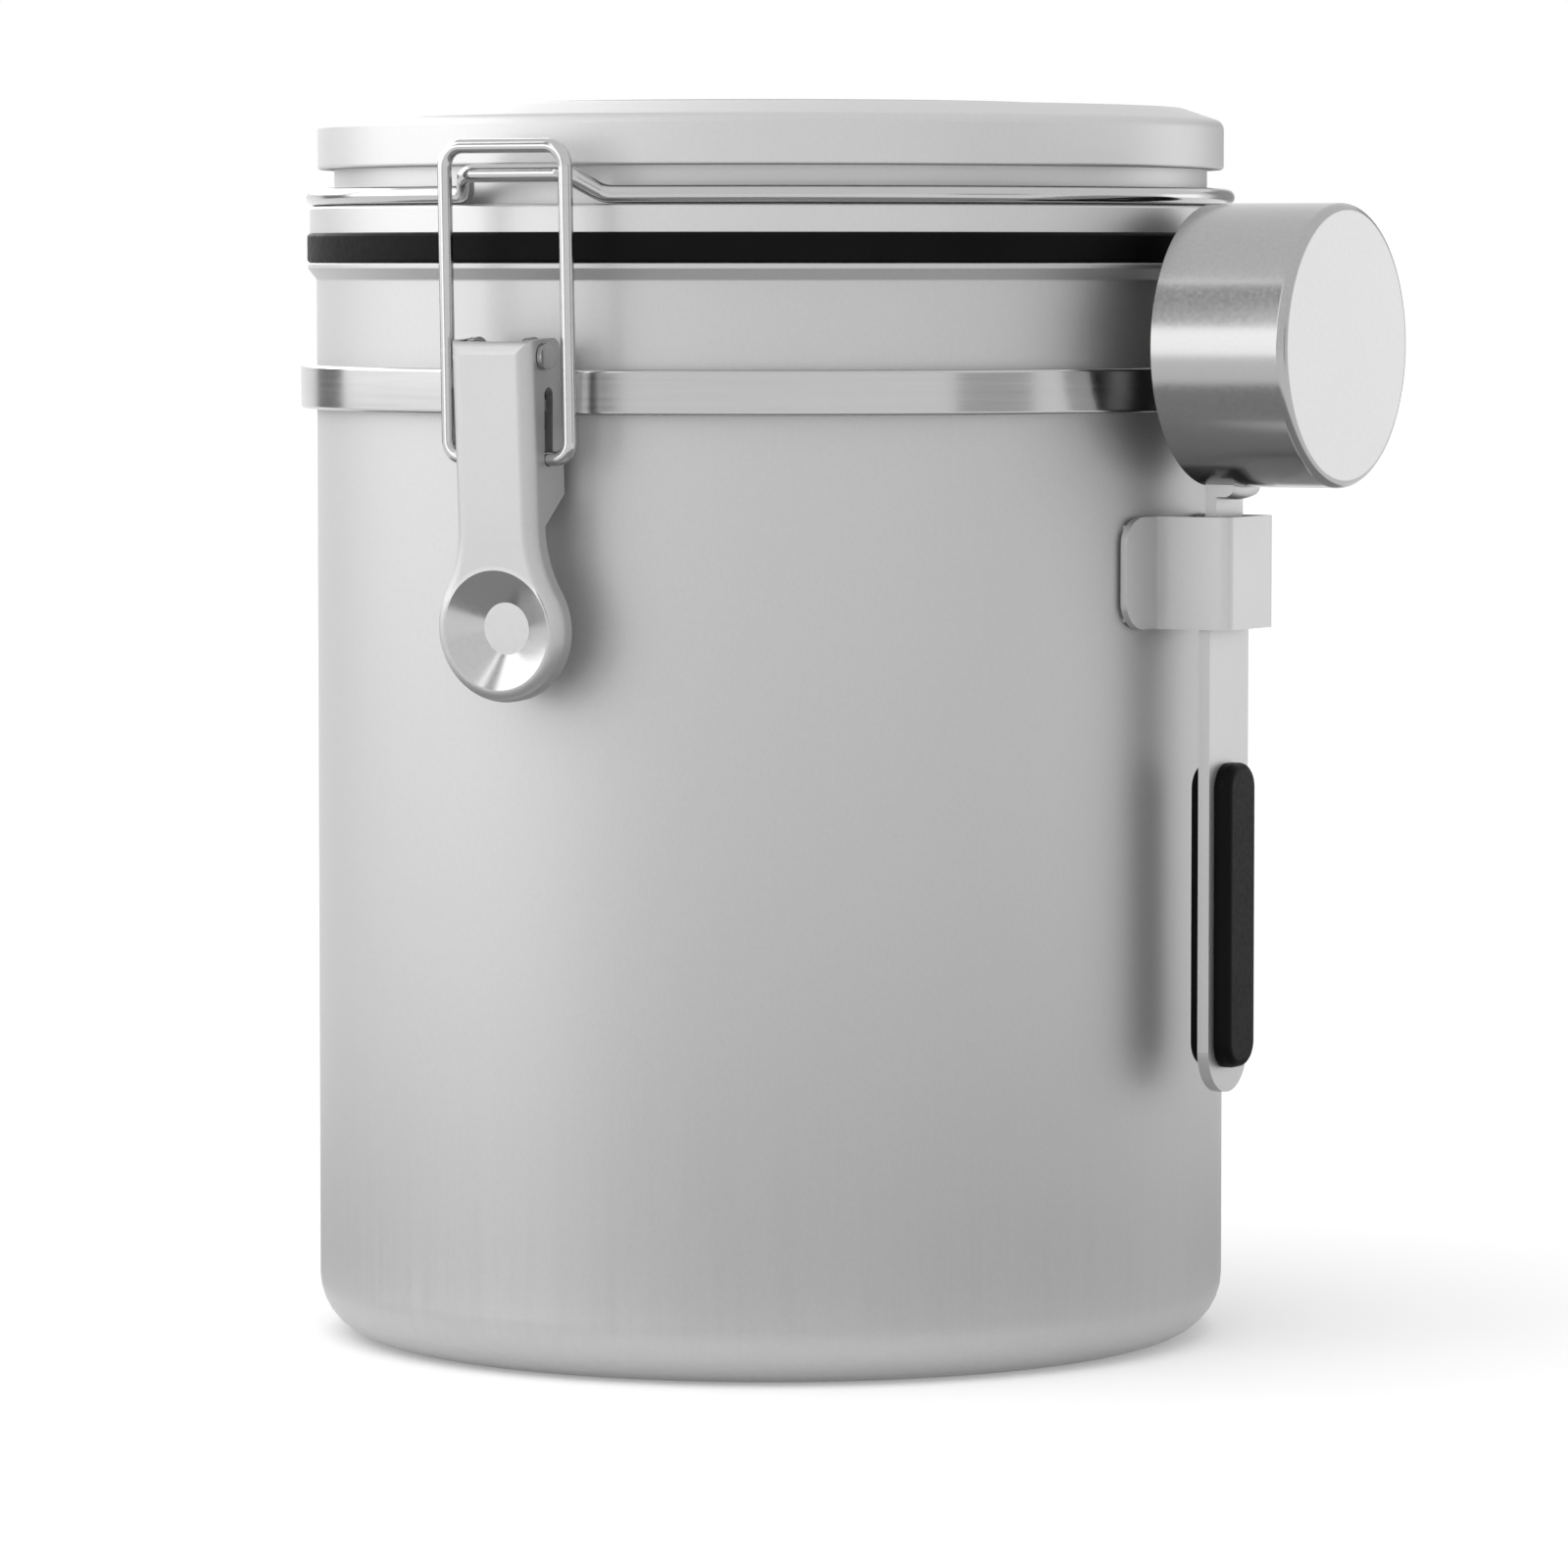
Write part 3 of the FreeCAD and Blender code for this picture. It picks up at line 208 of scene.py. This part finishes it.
LOW_CARD_RADIANCE = 0.38


# Frame helpers

def extent(node):
    """A node's lowest and highest corners in millimetres."""
    low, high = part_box(node)
    return Vector(low) / MM, Vector(high) / MM


def joint_place(name):
    """A joint's place in millimetres."""
    joint = next(joint for joint in frame["joints"] if joint["name"] == name)
    return Vector(joint["pos_m"]) / MM


def linked(name, data):
    """A new object in the scene."""
    thing = bpy.data.objects.new(name, data)
    bpy.context.scene.collection.objects.link(thing)
    return thing


# Node helpers

class Nodes:
    """A material's or a world's node tree, with short ways to add and join nodes."""

    def __init__(self, tree):
        self.tree = tree
        tree.nodes.clear()

    def add(self, kind, **values):
        node = self.tree.nodes.new(kind)
        for key, value in values.items():
            setattr(node, key, value)
        return node

    def join(self, out, into):
        self.tree.links.new(out, into)

    def math(self, operation, *values):
        node = self.add("ShaderNodeMath", operation=operation)
        for socket, value in zip(node.inputs, values):
            if isinstance(value, float):
                socket.default_value = value
            else:
                self.join(value, socket)
        return node.outputs[0]

    def noise(self, vector, scale, detail, roughness=0.55):
        node = self.add("ShaderNodeTexNoise")
        node.inputs["Scale"].default_value = scale
        node.inputs["Detail"].default_value = detail
        node.inputs["Roughness"].default_value = roughness
        self.join(vector, node.inputs["Vector"])
        return node.outputs["Fac"]

    def grain(self, vector, stretch, detail):
        node = self.add("ShaderNodeMapping")
        node.inputs["Scale"].default_value = stretch
        self.join(vector, node.inputs["Vector"])
        return self.noise(node.outputs["Vector"], scale=1.0, detail=detail, roughness=0.6)

    def ranged(self, value, low, high, in_low=NOISE_LOW, in_high=NOISE_HIGH):
        node = self.add("ShaderNodeMapRange")
        for name, number in (("From Min", in_low), ("From Max", in_high), ("To Min", low), ("To Max", high)):
            node.inputs[name].default_value = number
        self.join(value, node.inputs["Value"])
        return node.outputs["Result"]

    def bump(self, height, strength, distance):
        node = self.add("ShaderNodeBump")
        node.inputs["Strength"].default_value = strength
        node.inputs["Distance"].default_value = distance
        self.join(height, node.inputs["Height"])
        return node.outputs["Normal"]


def bare_material(name):
    """A material with nothing but an output: the material, its nodes and the output's surface socket."""
    material = bpy.data.materials.new(name)
    material.use_nodes = True
    nodes = Nodes(material.node_tree)
    return material, nodes, nodes.add("ShaderNodeOutputMaterial").inputs["Surface"]


def new_material(name):
    """A material with a principled shader: its nodes, the shader and the object coordinates."""
    material, nodes, surface = bare_material(name)
    shader = nodes.add("ShaderNodeBsdfPrincipled")
    nodes.join(shader.outputs["BSDF"], surface)
    place = nodes.add("ShaderNodeTexCoord").outputs["Object"]
    return material, nodes, shader, place


def neutral(level):
    """An opaque grey."""
    return (level, level, level, 1.0)


def tinted(nodes, value, grey, spread):
    """A neutral grey that varies a little with a noise value."""
    ramp = nodes.add("ShaderNodeValToRGB")
    low, high = ramp.color_ramp.elements
    low.position = NOISE_LOW
    high.position = NOISE_HIGH
    low.color = neutral(grey - spread)
    high.color = neutral(grey + spread)
    nodes.join(value, ramp.inputs["Fac"])
    return ramp.outputs["Color"]


# Finishes

def dish_polish(nodes, place, change):
    """A change of roughness inside the round dish of the lever's thumb disc, and none outside it."""
    lever = frame["nodes"]["latch_lever"]
    low, high = extent("latch_lever")
    disc_r = (high.x - low.x) / 2
    centre = Vector((0.0, low.y + DISH_SETBACK, low.z + disc_r)) * MM
    away = nodes.add("ShaderNodeVectorMath", operation="DISTANCE")
    away.inputs[1].default_value = lever.matrix_world.inverted() @ centre
    nodes.join(place, away.inputs[0])
    reach = DISH_R * MM
    return nodes.ranged(away.outputs["Value"], change, 0.0, reach, reach + DISH_EDGE * MM)


def steel(name, grey, roughness, grain=FINE_GRAIN, bump=SATIN_BUMP, metallic=1.0, dish_roughness=None):
    """Stainless steel with a fine grain, cloudy gloss and a light bump, and with a polished dish if asked."""
    material, nodes, shader, place = new_material(name)
    shader.inputs["Metallic"].default_value = metallic
    lines = nodes.grain(place, grain, detail=3.0)
    clouds = nodes.noise(place, CLOUD_SCALE, detail=3.0)
    nodes.join(tinted(nodes, lines, grey, STEEL_TINT), shader.inputs["Base Color"])
    cloud_gloss = nodes.ranged(clouds, -STEEL_GLOSS, STEEL_GLOSS)
    line_gloss = nodes.ranged(lines, -STEEL_GLOSS, STEEL_GLOSS)
    gloss = nodes.math("ADD", nodes.math("ADD", cloud_gloss, line_gloss), roughness)
    if dish_roughness is not None:
        gloss = nodes.math("ADD", gloss, dish_polish(nodes, place, dish_roughness - roughness))
    nodes.join(gloss, shader.inputs["Roughness"])
    nodes.join(nodes.bump(lines, bump, GRAIN_DEPTH), shader.inputs["Normal"])
    return material


def streaked_steel(name, grey, roughness):
    """Satin steel with a speckled grain and faint drawn streaks that fade out above the base."""
    material, nodes, shader, place = new_material(name)
    shader.inputs["Metallic"].default_value = BODY_METALLIC
    speck = nodes.grain(place, SPECK_GRAIN, detail=2.0)
    streak = nodes.grain(place, STREAK_GRAIN, detail=3.0)
    parts = nodes.add("ShaderNodeSeparateXYZ")
    nodes.join(place, parts.inputs["Vector"])
    strength = nodes.ranged(parts.outputs["Z"], STREAK_FULL, STREAK_FAINT, STREAK_LOW, STREAK_HIGH)
    centred = nodes.math("SUBTRACT", streak, NOISE_MIDDLE)
    mixed = nodes.math("ADD", nodes.math("MULTIPLY", centred, strength), speck)
    gloss = nodes.ranged(mixed, roughness - STREAK_GLOSS, roughness + STREAK_GLOSS)
    nodes.join(tinted(nodes, mixed, grey, STREAK_TINT), shader.inputs["Base Color"])
    nodes.join(gloss, shader.inputs["Roughness"])
    nodes.join(nodes.bump(mixed, STREAK_BUMP, GRAIN_DEPTH), shader.inputs["Normal"])
    return material


def rubber(name, grey, roughness, pebble_scale, bump):
    """Black rubber with a fine pebbled surface and dusty patches."""
    material, nodes, shader, place = new_material(name)
    shader.inputs["Specular IOR Level"].default_value = RUBBER_SPECULAR
    pebble = nodes.noise(place, pebble_scale, detail=2.0)
    dust = nodes.noise(place, DUST_SCALE, detail=4.0)
    gloss = nodes.ranged(pebble, roughness - PEBBLE_GLOSS, roughness + PEBBLE_GLOSS)
    nodes.join(tinted(nodes, dust, grey, grey * DUST_SHARE), shader.inputs["Base Color"])
    nodes.join(gloss, shader.inputs["Roughness"])
    nodes.join(nodes.bump(pebble, bump, PEBBLE_DEPTH), shader.inputs["Normal"])
    return material


def plastic(name, grey, roughness, tint):
    """Moulded plastic with a fine spark-eroded texture."""
    material, nodes, shader, place = new_material(name)
    texture = nodes.noise(place, MOULD_SCALE, detail=2.0)
    flow = nodes.noise(place, FLOW_SCALE, detail=3.0)
    gloss = nodes.ranged(texture, roughness - MOULD_GLOSS, roughness + MOULD_GLOSS)
    nodes.join(tinted(nodes, flow, grey, tint), shader.inputs["Base Color"])
    nodes.join(gloss, shader.inputs["Roughness"])
    nodes.join(nodes.bump(texture, MOULD_BUMP, MOULD_DEPTH), shader.inputs["Normal"])
    return material


def felt(name, grey):
    """A pale felt with loose fibres."""
    material, nodes, shader, place = new_material(name)
    shader.inputs["Sheen Weight"].default_value = FELT_SHEEN
    fibre = nodes.noise(place, FIBRE_SCALE, detail=5.0, roughness=0.7)
    nodes.join(tinted(nodes, fibre, grey, FELT_TINT), shader.inputs["Base Color"])
    nodes.join(nodes.ranged(fibre, FELT_SMOOTHEST, FELT_ROUGHEST), shader.inputs["Roughness"])
    nodes.join(nodes.bump(fibre, FIBRE_BUMP, FIBRE_DEPTH), shader.inputs["Normal"])
    return material


# What makes the finish of each slot, and from which values
FINISHES = {
    "body_steel": (streaked_steel, dict(grey=0.54, roughness=0.52)),
    "lid_steel": (steel, dict(grey=0.58, roughness=0.46, metallic=SATIN_METALLIC)),
    "bright_steel": (steel, dict(grey=0.49, roughness=0.17, grain=ROUND_GRAIN, bump=0.02)),
    "lever_steel": (steel, dict(grey=0.49, roughness=0.46, dish_roughness=0.20)),
    "scoop_steel": (steel, dict(grey=0.40, roughness=0.19, bump=0.03)),
    "satin_steel": (steel, dict(grey=0.55, roughness=0.44, metallic=SATIN_METALLIC)),
    "screw_steel": (steel, dict(grey=0.55, roughness=0.25)),
    "bezel_silver": (steel, dict(grey=0.56, roughness=0.44)),
    "seal_rubber": (rubber, dict(grey=0.004, roughness=0.50, pebble_scale=900.0, bump=0.10)),
    "grip_rubber": (rubber, dict(grey=0.004, roughness=0.40, pebble_scale=1400.0, bump=0.14)),
    "pale_plastic": (plastic, dict(grey=0.74, roughness=0.42, tint=0.01)),
    "dial_plastic": (plastic, dict(grey=0.030, roughness=0.38, tint=0.006)),
    "dial_face": (plastic, dict(grey=0.055, roughness=0.45, tint=0.008)),
    "pad_foam": (plastic, dict(grey=0.50, roughness=0.80, tint=0.03)),
    "filter_cloth": (felt, dict(grey=0.78)),
}
finishes = {slot: make(slot, **values) for slot, (make, values) in FINISHES.items()}
slots = {part["node"]: part["material_slot"] for part in frame["record"]["subparts"]}


def dress_nodes():
    """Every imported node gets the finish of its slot."""
    for node, slot in slots.items():
        mesh = frame["nodes"][node].data
        mesh.materials.clear()
        mesh.materials.append(finishes[slot])


# Mesh helpers

def rounded(corners):
    """The points of a route or outline, where each corner (point, radius) becomes an arc of that radius."""
    points = []
    for index, (corner, radius) in enumerate(corners):
        if radius == 0 or index in (0, len(corners) - 1):
            points.append(corner)
            continue
        back = (corners[index - 1][0] - corner).normalized()
        ahead = (corners[index + 1][0] - corner).normalized()
        half = back.angle(ahead) / 2
        inward = (back + ahead).normalized()
        centre = corner + inward * (radius / math.sin(half))
        start = corner + back * (radius / math.tan(half))
        turn = math.pi - 2 * half
        count = max(2, math.ceil(turn / ARC_STEP))
        out = (start - centre) / radius
        for step in range(count + 1):
            angle = turn * step / count
            points.append(centre + (out * math.cos(angle) - back * math.sin(angle)) * radius)
    return points


def smooth_mesh(name, bm):
    """A mesh from a bmesh in millimetres, smooth but for its sharp edges."""
    bmesh.ops.remove_doubles(bm, verts=bm.verts, dist=MERGE_DISTANCE)
    bmesh.ops.recalc_face_normals(bm, faces=bm.faces)
    bm.transform(Matrix.Scale(MM, 4))
    mesh = bpy.data.meshes.new(name)
    bm.to_mesh(mesh)
    bm.free()
    mesh.shade_smooth()
    mesh.set_sharp_from_angle(angle=SHARP_ANGLE)
    return mesh


def place_piece(name, bm, node, body):
    """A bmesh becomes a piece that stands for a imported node, rides its body and takes its finish."""
    mesh = smooth_mesh(name, bm)
    mesh.materials.append(finishes[slots[node]])
    piece = linked(name, mesh)
    normals = piece.modifiers.new("flat faces", "WEIGHTED_NORMAL")
    normals.keep_sharp = True
    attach(piece, body)
    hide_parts(node)


def spin_outline(bm, corners, place=Matrix.Identity(4)):
    """Turns a closed outline of (radius, height, rounding) corners about Z, then moves it into place."""
    outline = rounded([(Vector((r, 0.0, z)), fillet) for r, z, fillet in corners + corners[:1]])
    loops = []
    for index in range(SEGMENTS):
        turn = Matrix.Rotation(2 * math.pi * index / SEGMENTS, 4, "Z")
        loops.append([bm.verts.new(place @ (turn @ point)) for point in outline[:-1]])
    for near, far in zip(loops, loops[1:] + loops[:1]):
        for index in range(len(near)):
            after = (index + 1) % len(near)
            on_axis = [outline[i].x < ON_AXIS for i in (index, after)]
            if all(on_axis):
                continue
            if on_axis[0]:
                bm.faces.new((near[index], near[after], far[after]))
            elif on_axis[1]:
                bm.faces.new((near[index], near[after], far[index]))
            else:
                bm.faces.new((near[index], near[after], far[after], far[index]))


def turned(name, node, body, corners, place=Matrix.Identity(4)):
    """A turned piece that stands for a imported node."""
    bm = bmesh.new()
    spin_outline(bm, corners, place)
    place_piece(name, bm, node, body)


def add_curve(bm, curve, place=Matrix.Identity(4)):
    """Adds a curve's mesh, moved into place, to a bmesh and deletes the curve."""
    carrier = bpy.data.objects.new(curve.name, curve)
    mesh = bpy.data.meshes.new_from_object(carrier)
    mesh.transform(place)
    bm.from_mesh(mesh)
    bpy.data.meshes.remove(mesh)
    bpy.data.objects.remove(carrier)
    bpy.data.curves.remove(curve)


def add_wire(bm, points, diameter):
    """Adds a round wire along the points, in millimetres, to a bmesh."""
    curve = bpy.data.curves.new("route", "CURVE")
    curve.dimensions = "3D"
    curve.bevel_depth = diameter / 2
    curve.bevel_resolution = WIRE_BEVEL_STEPS
    curve.use_fill_caps = True
    spline = curve.splines.new("POLY")
    spline.points.add(len(points) - 1)
    for target, point in zip(spline.points, points):
        target.co = (*point, 1.0)
    add_curve(bm, curve)


def both_sides(side):
    """A route across X = 0, from the mirror image of a side that starts there to the side itself."""
    mirror = [Vector((-point.x, point.y, point.z)) for point in reversed(side)]
    return mirror[:-1] + side


# Turned shells

def shell():
    """The spun body with its rolled rim and rounded base."""
    high = extent("canister_body")[1]
    rim_r, top = high.x, high.z
    body_r = rim_r - RIM_PROUD
    inner = body_r - BODY_WALL
    turned("shell", "canister_body", "canister", [
        (0.0, 0.0, 0), (body_r, 0.0, BASE_ROUND), (body_r, top - RIM_EDGE - RIM_SLOPE, RIM_FOOT_ROUND),
        (rim_r, top - RIM_EDGE, RIM_ROUND), (rim_r, top, RIM_ROUND), (inner, top, MOUTH_ROUND),
        (inner, BODY_WALL, BASE_ROUND - BODY_WALL), (0.0, BODY_WALL, 0)])


def band():
    """The channel band round the body, open towards it."""
    low, high = extent("clamp_band")
    seat = high.x - BAND_PROUD
    back = high.x - BAND_SHEET
    turned("band", "clamp_band", "canister", [
        (seat, low.z, 0), (high.x, low.z, EDGE_ROUND), (high.x, high.z, EDGE_ROUND), (seat, high.z, 0),
        (seat, high.z - BAND_SHEET, 0), (back, high.z - BAND_SHEET, 0), (back, low.z + BAND_SHEET, 0),
        (seat, low.z + BAND_SHEET, 0)])


def seal():
    """The rubber ring between the body's rim and the lid."""
    low, high = extent("gasket")
    bore = high.x - GASKET_WIDTH
    turned("seal", "gasket", "lid", [
        (bore, low.z, 0), (high.x, low.z, GASKET_ROUND), (high.x, high.z, GASKET_ROUND), (bore, high.z, 0)])


def lid_neck():
    """The lower lid pressing, with the groove for the wire ring."""
    low, high = extent("lid_base")
    sheet = LID_SHEET
    neck_r = high.x
    groove_r = neck_r - GROOVE_DEPTH
    step = low.z + NECK_HEIGHT
    lip = high.z - sheet
    turned("lid_neck", "lid_base", "lid", [
        (neck_r, low.z, 0), (neck_r, step, EDGE_ROUND), (groove_r, step, 0), (groove_r, lip, 0),
        (groove_r + SEAM_LIP, lip, 0), (groove_r + SEAM_LIP, high.z, 0), (groove_r - sheet, high.z, 0),
        (groove_r - sheet, step - sheet, 0), (neck_r - sheet, step - sheet, 0), (neck_r - sheet, low.z, 0)])


def lid_crown():
    """The upper lid pressing, with its chamfered edge and the hole for the dials."""
    low, high = extent("lid_cap")
    sheet = LID_SHEET
    shoulder = high.z - CAP_CHAMFER_RISE
    crown_r = high.x - CAP_CHAMFER_IN
    lip_in = extent("lid_base")[1].x - GROOVE_DEPTH + SEAM_GAP
    turned("lid_crown", "lid_cap", "lid", [
        (lip_in, low.z, 0), (high.x, low.z, EDGE_ROUND), (high.x, shoulder, CAP_ROUND),
        (crown_r, high.z, CAP_ROUND), (DIAL_HOLE_R, high.z, 0), (DIAL_HOLE_R, high.z - sheet, 0),
        (crown_r, high.z - sheet, 0), (high.x - sheet, shoulder - sheet / 2, 0),
        (high.x - sheet, low.z + sheet, 0), (lip_in, low.z + sheet, 0)])


def cup():
    """The scoop's cup, which lies on its side with its mouth towards the body."""
    low, high = extent("scoop_cup")
    radius = (high.z - low.z) / 2
    depth = high.x - low.x
    inner = radius - CUP_WALL
    place = Matrix.Translation((low.x, 0.0, (low.z + high.z) / 2)) @ ALONG_X
    turned("cup", "scoop_cup", "scoop", [
        (0.0, depth, 0), (radius, depth, CUP_EDGE), (radius, 0.0, CUP_LIP_ROUND), (inner, 0.0, CUP_LIP_ROUND),
        (inner, depth - CUP_WALL, CUP_EDGE - CUP_WALL), (0.0, depth - CUP_WALL, 0)], place)


# Wires

def ring_wire():
    """The lid's wire ring: catch, half rings and hinge eyes."""
    low, high = extent("lid_ring")
    pivot = joint_place("lid_hinge")
    ring_r = extent("lid_base")[1].x - RING_INSET
    catch = Vector((0.0, low.y + RING_WIRE / 2, high.z - RING_WIRE / 2))

    def on_ring(x, side):
        return Vector((x, side * math.sqrt(ring_r ** 2 - x * x), pivot.z))

    def along(point):
        """The ring's own direction at a point, towards X = 0."""
        return Vector((point.y, -point.x, 0.0)).normalized() * (1 if point.y < 0 else -1)

    front = on_ring(CATCH_FOOT_X + CATCH_RUN, -1)
    foot = front + along(front) * CATCH_RUN
    shoulder = Vector((CATCH_HALF, catch.y, catch.z))
    rear = on_ring(HINGE_EYE_X + HINGE_RUN, 1)
    turn = rear + along(rear) * (HINGE_RUN / -along(rear).x)
    eye = Vector((turn.x, pivot.y - (EYE_BORE_R + EYE_OUT_R) / 2, pivot.z))
    start = math.atan2(front.y, front.x)
    sweep = math.atan2(rear.y, rear.x) - start
    count = SEGMENTS // 2
    turns = [start + sweep * index / count for index in range(1, count)]
    arc = [Vector((ring_r * math.cos(angle), ring_r * math.sin(angle), pivot.z)) for angle in turns]
    side = rounded([(catch, 0), (shoulder, WIRE_BEND), (foot, WIRE_BEND), (front, 0)])
    side += arc + rounded([(rear, 0), (turn, WIRE_BEND), (eye, 0)])
    bm = bmesh.new()
    add_wire(bm, both_sides(side), RING_WIRE)
    half = RING_WIRE / 2 - EYE_FLAT
    for x in (-turn.x, turn.x):
        place = Matrix.Translation((x, pivot.y, pivot.z)) @ ALONG_X
        spin_outline(bm, [
            (EYE_BORE_R, -half, 0), (EYE_OUT_R, -half, EYE_ROUND), (EYE_OUT_R, half, EYE_ROUND),
            (EYE_BORE_R, half, 0)], place)
    place_piece("ring_wire", bm, "lid_ring", "lid")


def bail_wire():
    """The latch's wire loop with its two inturned ends."""
    low, high = extent("latch_bail")
    pivot = joint_place("bail_swing")
    half = high.x - BAIL_WIRE / 2
    top = Vector((half, low.y + BAIL_WIRE / 2, high.z - BAIL_WIRE / 2))
    middle = Vector((0.0, top.y, top.z))
    foot = Vector((half, pivot.y, pivot.z))
    end = Vector((BAIL_END_X, pivot.y, pivot.z))
    side = rounded([(middle, 0), (top, BAIL_CORNER), (foot, BAIL_FOOT_BEND), (end, 0)])
    bm = bmesh.new()
    add_wire(bm, both_sides(side), BAIL_WIRE)
    place_piece("bail_wire", bm, "latch_bail", "bail")


# Numbers on the date dials

def add_number(bm, number, place):
    """Adds one number, flat and facing up, to a bmesh in metres."""
    curve = bpy.data.curves.new("number", "FONT")
    curve.body = str(number)
    curve.size = NUMBER_SIZE * MM
    curve.align_x = "CENTER"
    curve.align_y = "CENTER"
    curve.extrude = NUMBER_PROUD * MM
    add_curve(bm, curve, place)


def dial_numbers(name, dial, count, inset):
    """The numbers from 1 to count round a dial, with 1 at the front."""
    high = extent(dial)[1]
    bm = bmesh.new()
    for index in range(count):
        turn = Matrix.Rotation(-2 * math.pi * index / count, 4, "Z")
        add_number(bm, index + 1, turn @ Matrix.Translation((0.0, -(high.x - inset) * MM, high.z * MM)))
    mesh = bpy.data.meshes.new(name)
    bm.to_mesh(mesh)
    bm.free()
    mesh.materials.append(finishes["pale_plastic"])
    piece = linked(name, mesh)
    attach(piece, dial)


dress_nodes()
shell()
band()
seal()
lid_neck()
lid_crown()
cup()
ring_wire()
bail_wire()
dial_numbers("day_numbers", "day_dial", DAYS, DAY_NUMBER_INSET)
dial_numbers("month_numbers", "month_dial", MONTHS, MONTH_NUMBER_INSET)


# Stage: a white floor and surround, a key light and panels that the steel mirrors

def toward_angle(angle):
    """The level direction at an angle from the camera, to the right if positive."""
    heading = VIEW_AZIMUTH + math.radians(angle)
    return Vector((math.sin(heading), -math.cos(heading), 0.0))


def camera():
    """The photograph's camera, about level with the body's rim and aimed a little down."""
    data = bpy.data.cameras.new("camera")
    data.lens = LENS_MM
    data.sensor_width = SENSOR_MM
    data.clip_end = VIEW_END
    lens = linked("camera", data)
    lens.location = toward_angle(0.0) * VIEW_DISTANCE + Vector((0.0, 0.0, EYE_HEIGHT))
    aim = toward_angle(90.0) * AIM_RIGHT + Vector((0.0, 0.0, AIM_HEIGHT))
    lens.rotation_mode = "QUATERNION"
    lens.rotation_quaternion = (aim - lens.location).to_track_quat("-Z", "Y")
    bpy.context.scene.camera = lens


def seen_directly(nodes):
    """1 for camera, mirror and see-through rays, else 0."""
    path = nodes.add("ShaderNodeLightPath")
    seen = nodes.math("MAXIMUM", path.outputs["Is Camera Ray"], path.outputs["Is Glossy Ray"])
    return nodes.math("MAXIMUM", seen, path.outputs["Is Transmission Ray"])


def white_world():
    """White where it is seen, and a plain fill light elsewhere."""
    world = bpy.data.worlds.new("white_room")
    world.use_nodes = True
    nodes = Nodes(world.node_tree)
    out = nodes.add("ShaderNodeOutputWorld")
    shade = nodes.add("ShaderNodeBackground")
    shade.inputs["Color"].default_value = neutral(1.0)
    strength = nodes.math("ADD", nodes.math("MULTIPLY", seen_directly(nodes), 1.0 - FILL), FILL)
    nodes.join(strength, shade.inputs["Strength"])
    nodes.join(shade.outputs["Background"], out.inputs["Surface"])
    bpy.context.scene.world = world


def stage_mesh(name, points, faces, material):
    """A mesh that belongs to the stage and not to the object."""
    mesh = bpy.data.meshes.new(name)
    mesh.from_pydata(points, [], faces)
    mesh.materials.append(material)
    thing = linked(name, mesh)
    return thing


def floor():
    """A white floor that keeps the object's shadow and meets the white surround without an edge."""
    material, nodes, surface = bare_material("floor")
    paint = nodes.add("ShaderNodeBsdfDiffuse")
    paint.inputs["Color"].default_value = neutral(FLOOR_GREY)
    lift = nodes.add("ShaderNodeEmission")
    nodes.join(nodes.math("MULTIPLY", seen_directly(nodes), FLOOR_LIFT), lift.inputs["Strength"])
    both = nodes.add("ShaderNodeAddShader")
    nodes.join(paint.outputs["BSDF"], both.inputs[0])
    nodes.join(lift.outputs["Emission"], both.inputs[1])
    nodes.join(both.outputs["Shader"], surface)
    signs = ((-1, -1), (1, -1), (1, 1), (-1, 1))
    corners = [(x * FLOOR_REACH, y * FLOOR_REACH, 0.0) for x, y in signs]
    stage_mesh("floor", corners, [(0, 1, 2, 3)], material)


def key_light():
    """One broad lamp from the upper left, which lights and shades without a hard glint."""
    data = bpy.data.lights.new("key", "SUN")
    data.energy = KEY_STRENGTH
    data.angle = math.radians(KEY_SPREAD)
    lamp = linked("key", data)
    rise = math.radians(KEY_RISE)
    source = toward_angle(KEY_ANGLE) * math.cos(rise) + Vector((0.0, 0.0, math.sin(rise)))
    lamp.rotation_mode = "QUATERNION"
    lamp.rotation_quaternion = source.to_track_quat("Z", "Y")
    lamp.visible_glossy = False


def mirror_card(points, faces, radiance):
    """A glowing surface that only mirror rays see: a soft box above 1, a grey card below."""
    material, nodes, surface = bare_material("panel")
    glow = nodes.add("ShaderNodeEmission")
    glow.inputs["Strength"].default_value = radiance
    nodes.join(glow.outputs["Emission"], surface)
    card = stage_mesh("panel", points, faces, material)
    card.visible_camera = False
    card.visible_diffuse = False
    card.visible_transmission = False
    card.visible_shadow = False


def panel(angle, width, low, high, radiance):
    """An upright curved panel round the object. A grey card stands nearer than a soft box."""
    count = max(2, round(width / PANEL_FACET))
    away = PANEL_DISTANCE - (CARD_STEP if radiance < 1 else 0.0)
    points = []
    for index in range(count + 1):
        spot = toward_angle(angle + width * (index / count - 0.5)) * away
        points += [(spot.x, spot.y, low), (spot.x, spot.y, high)]
    mirror_card(points, [(2 * i, 2 * i + 2, 2 * i + 3, 2 * i + 1) for i in range(count)], radiance)


def low_card():
    """A flat grey ring on the floor, which darkens what faces down."""
    count = LOW_CARD_SIDES
    points = []
    for index in range(count):
        spot = toward_angle(360.0 * index / count)
        for reach in (LOW_CARD_IN, LOW_CARD_OUT):
            points.append((spot.x * reach, spot.y * reach, LOW_CARD_RISE))
    faces = [(2 * i, 2 * i + 1, (2 * i + 3) % (2 * count), (2 * i + 2) % (2 * count)) for i in range(count)]
    mirror_card(points, faces, LOW_CARD_RADIANCE)


camera()
white_world()
floor()
key_light()
low_card()
for values in PANELS:
    panel(*values)
bpy.context.scene.view_settings.view_transform = "Standard"
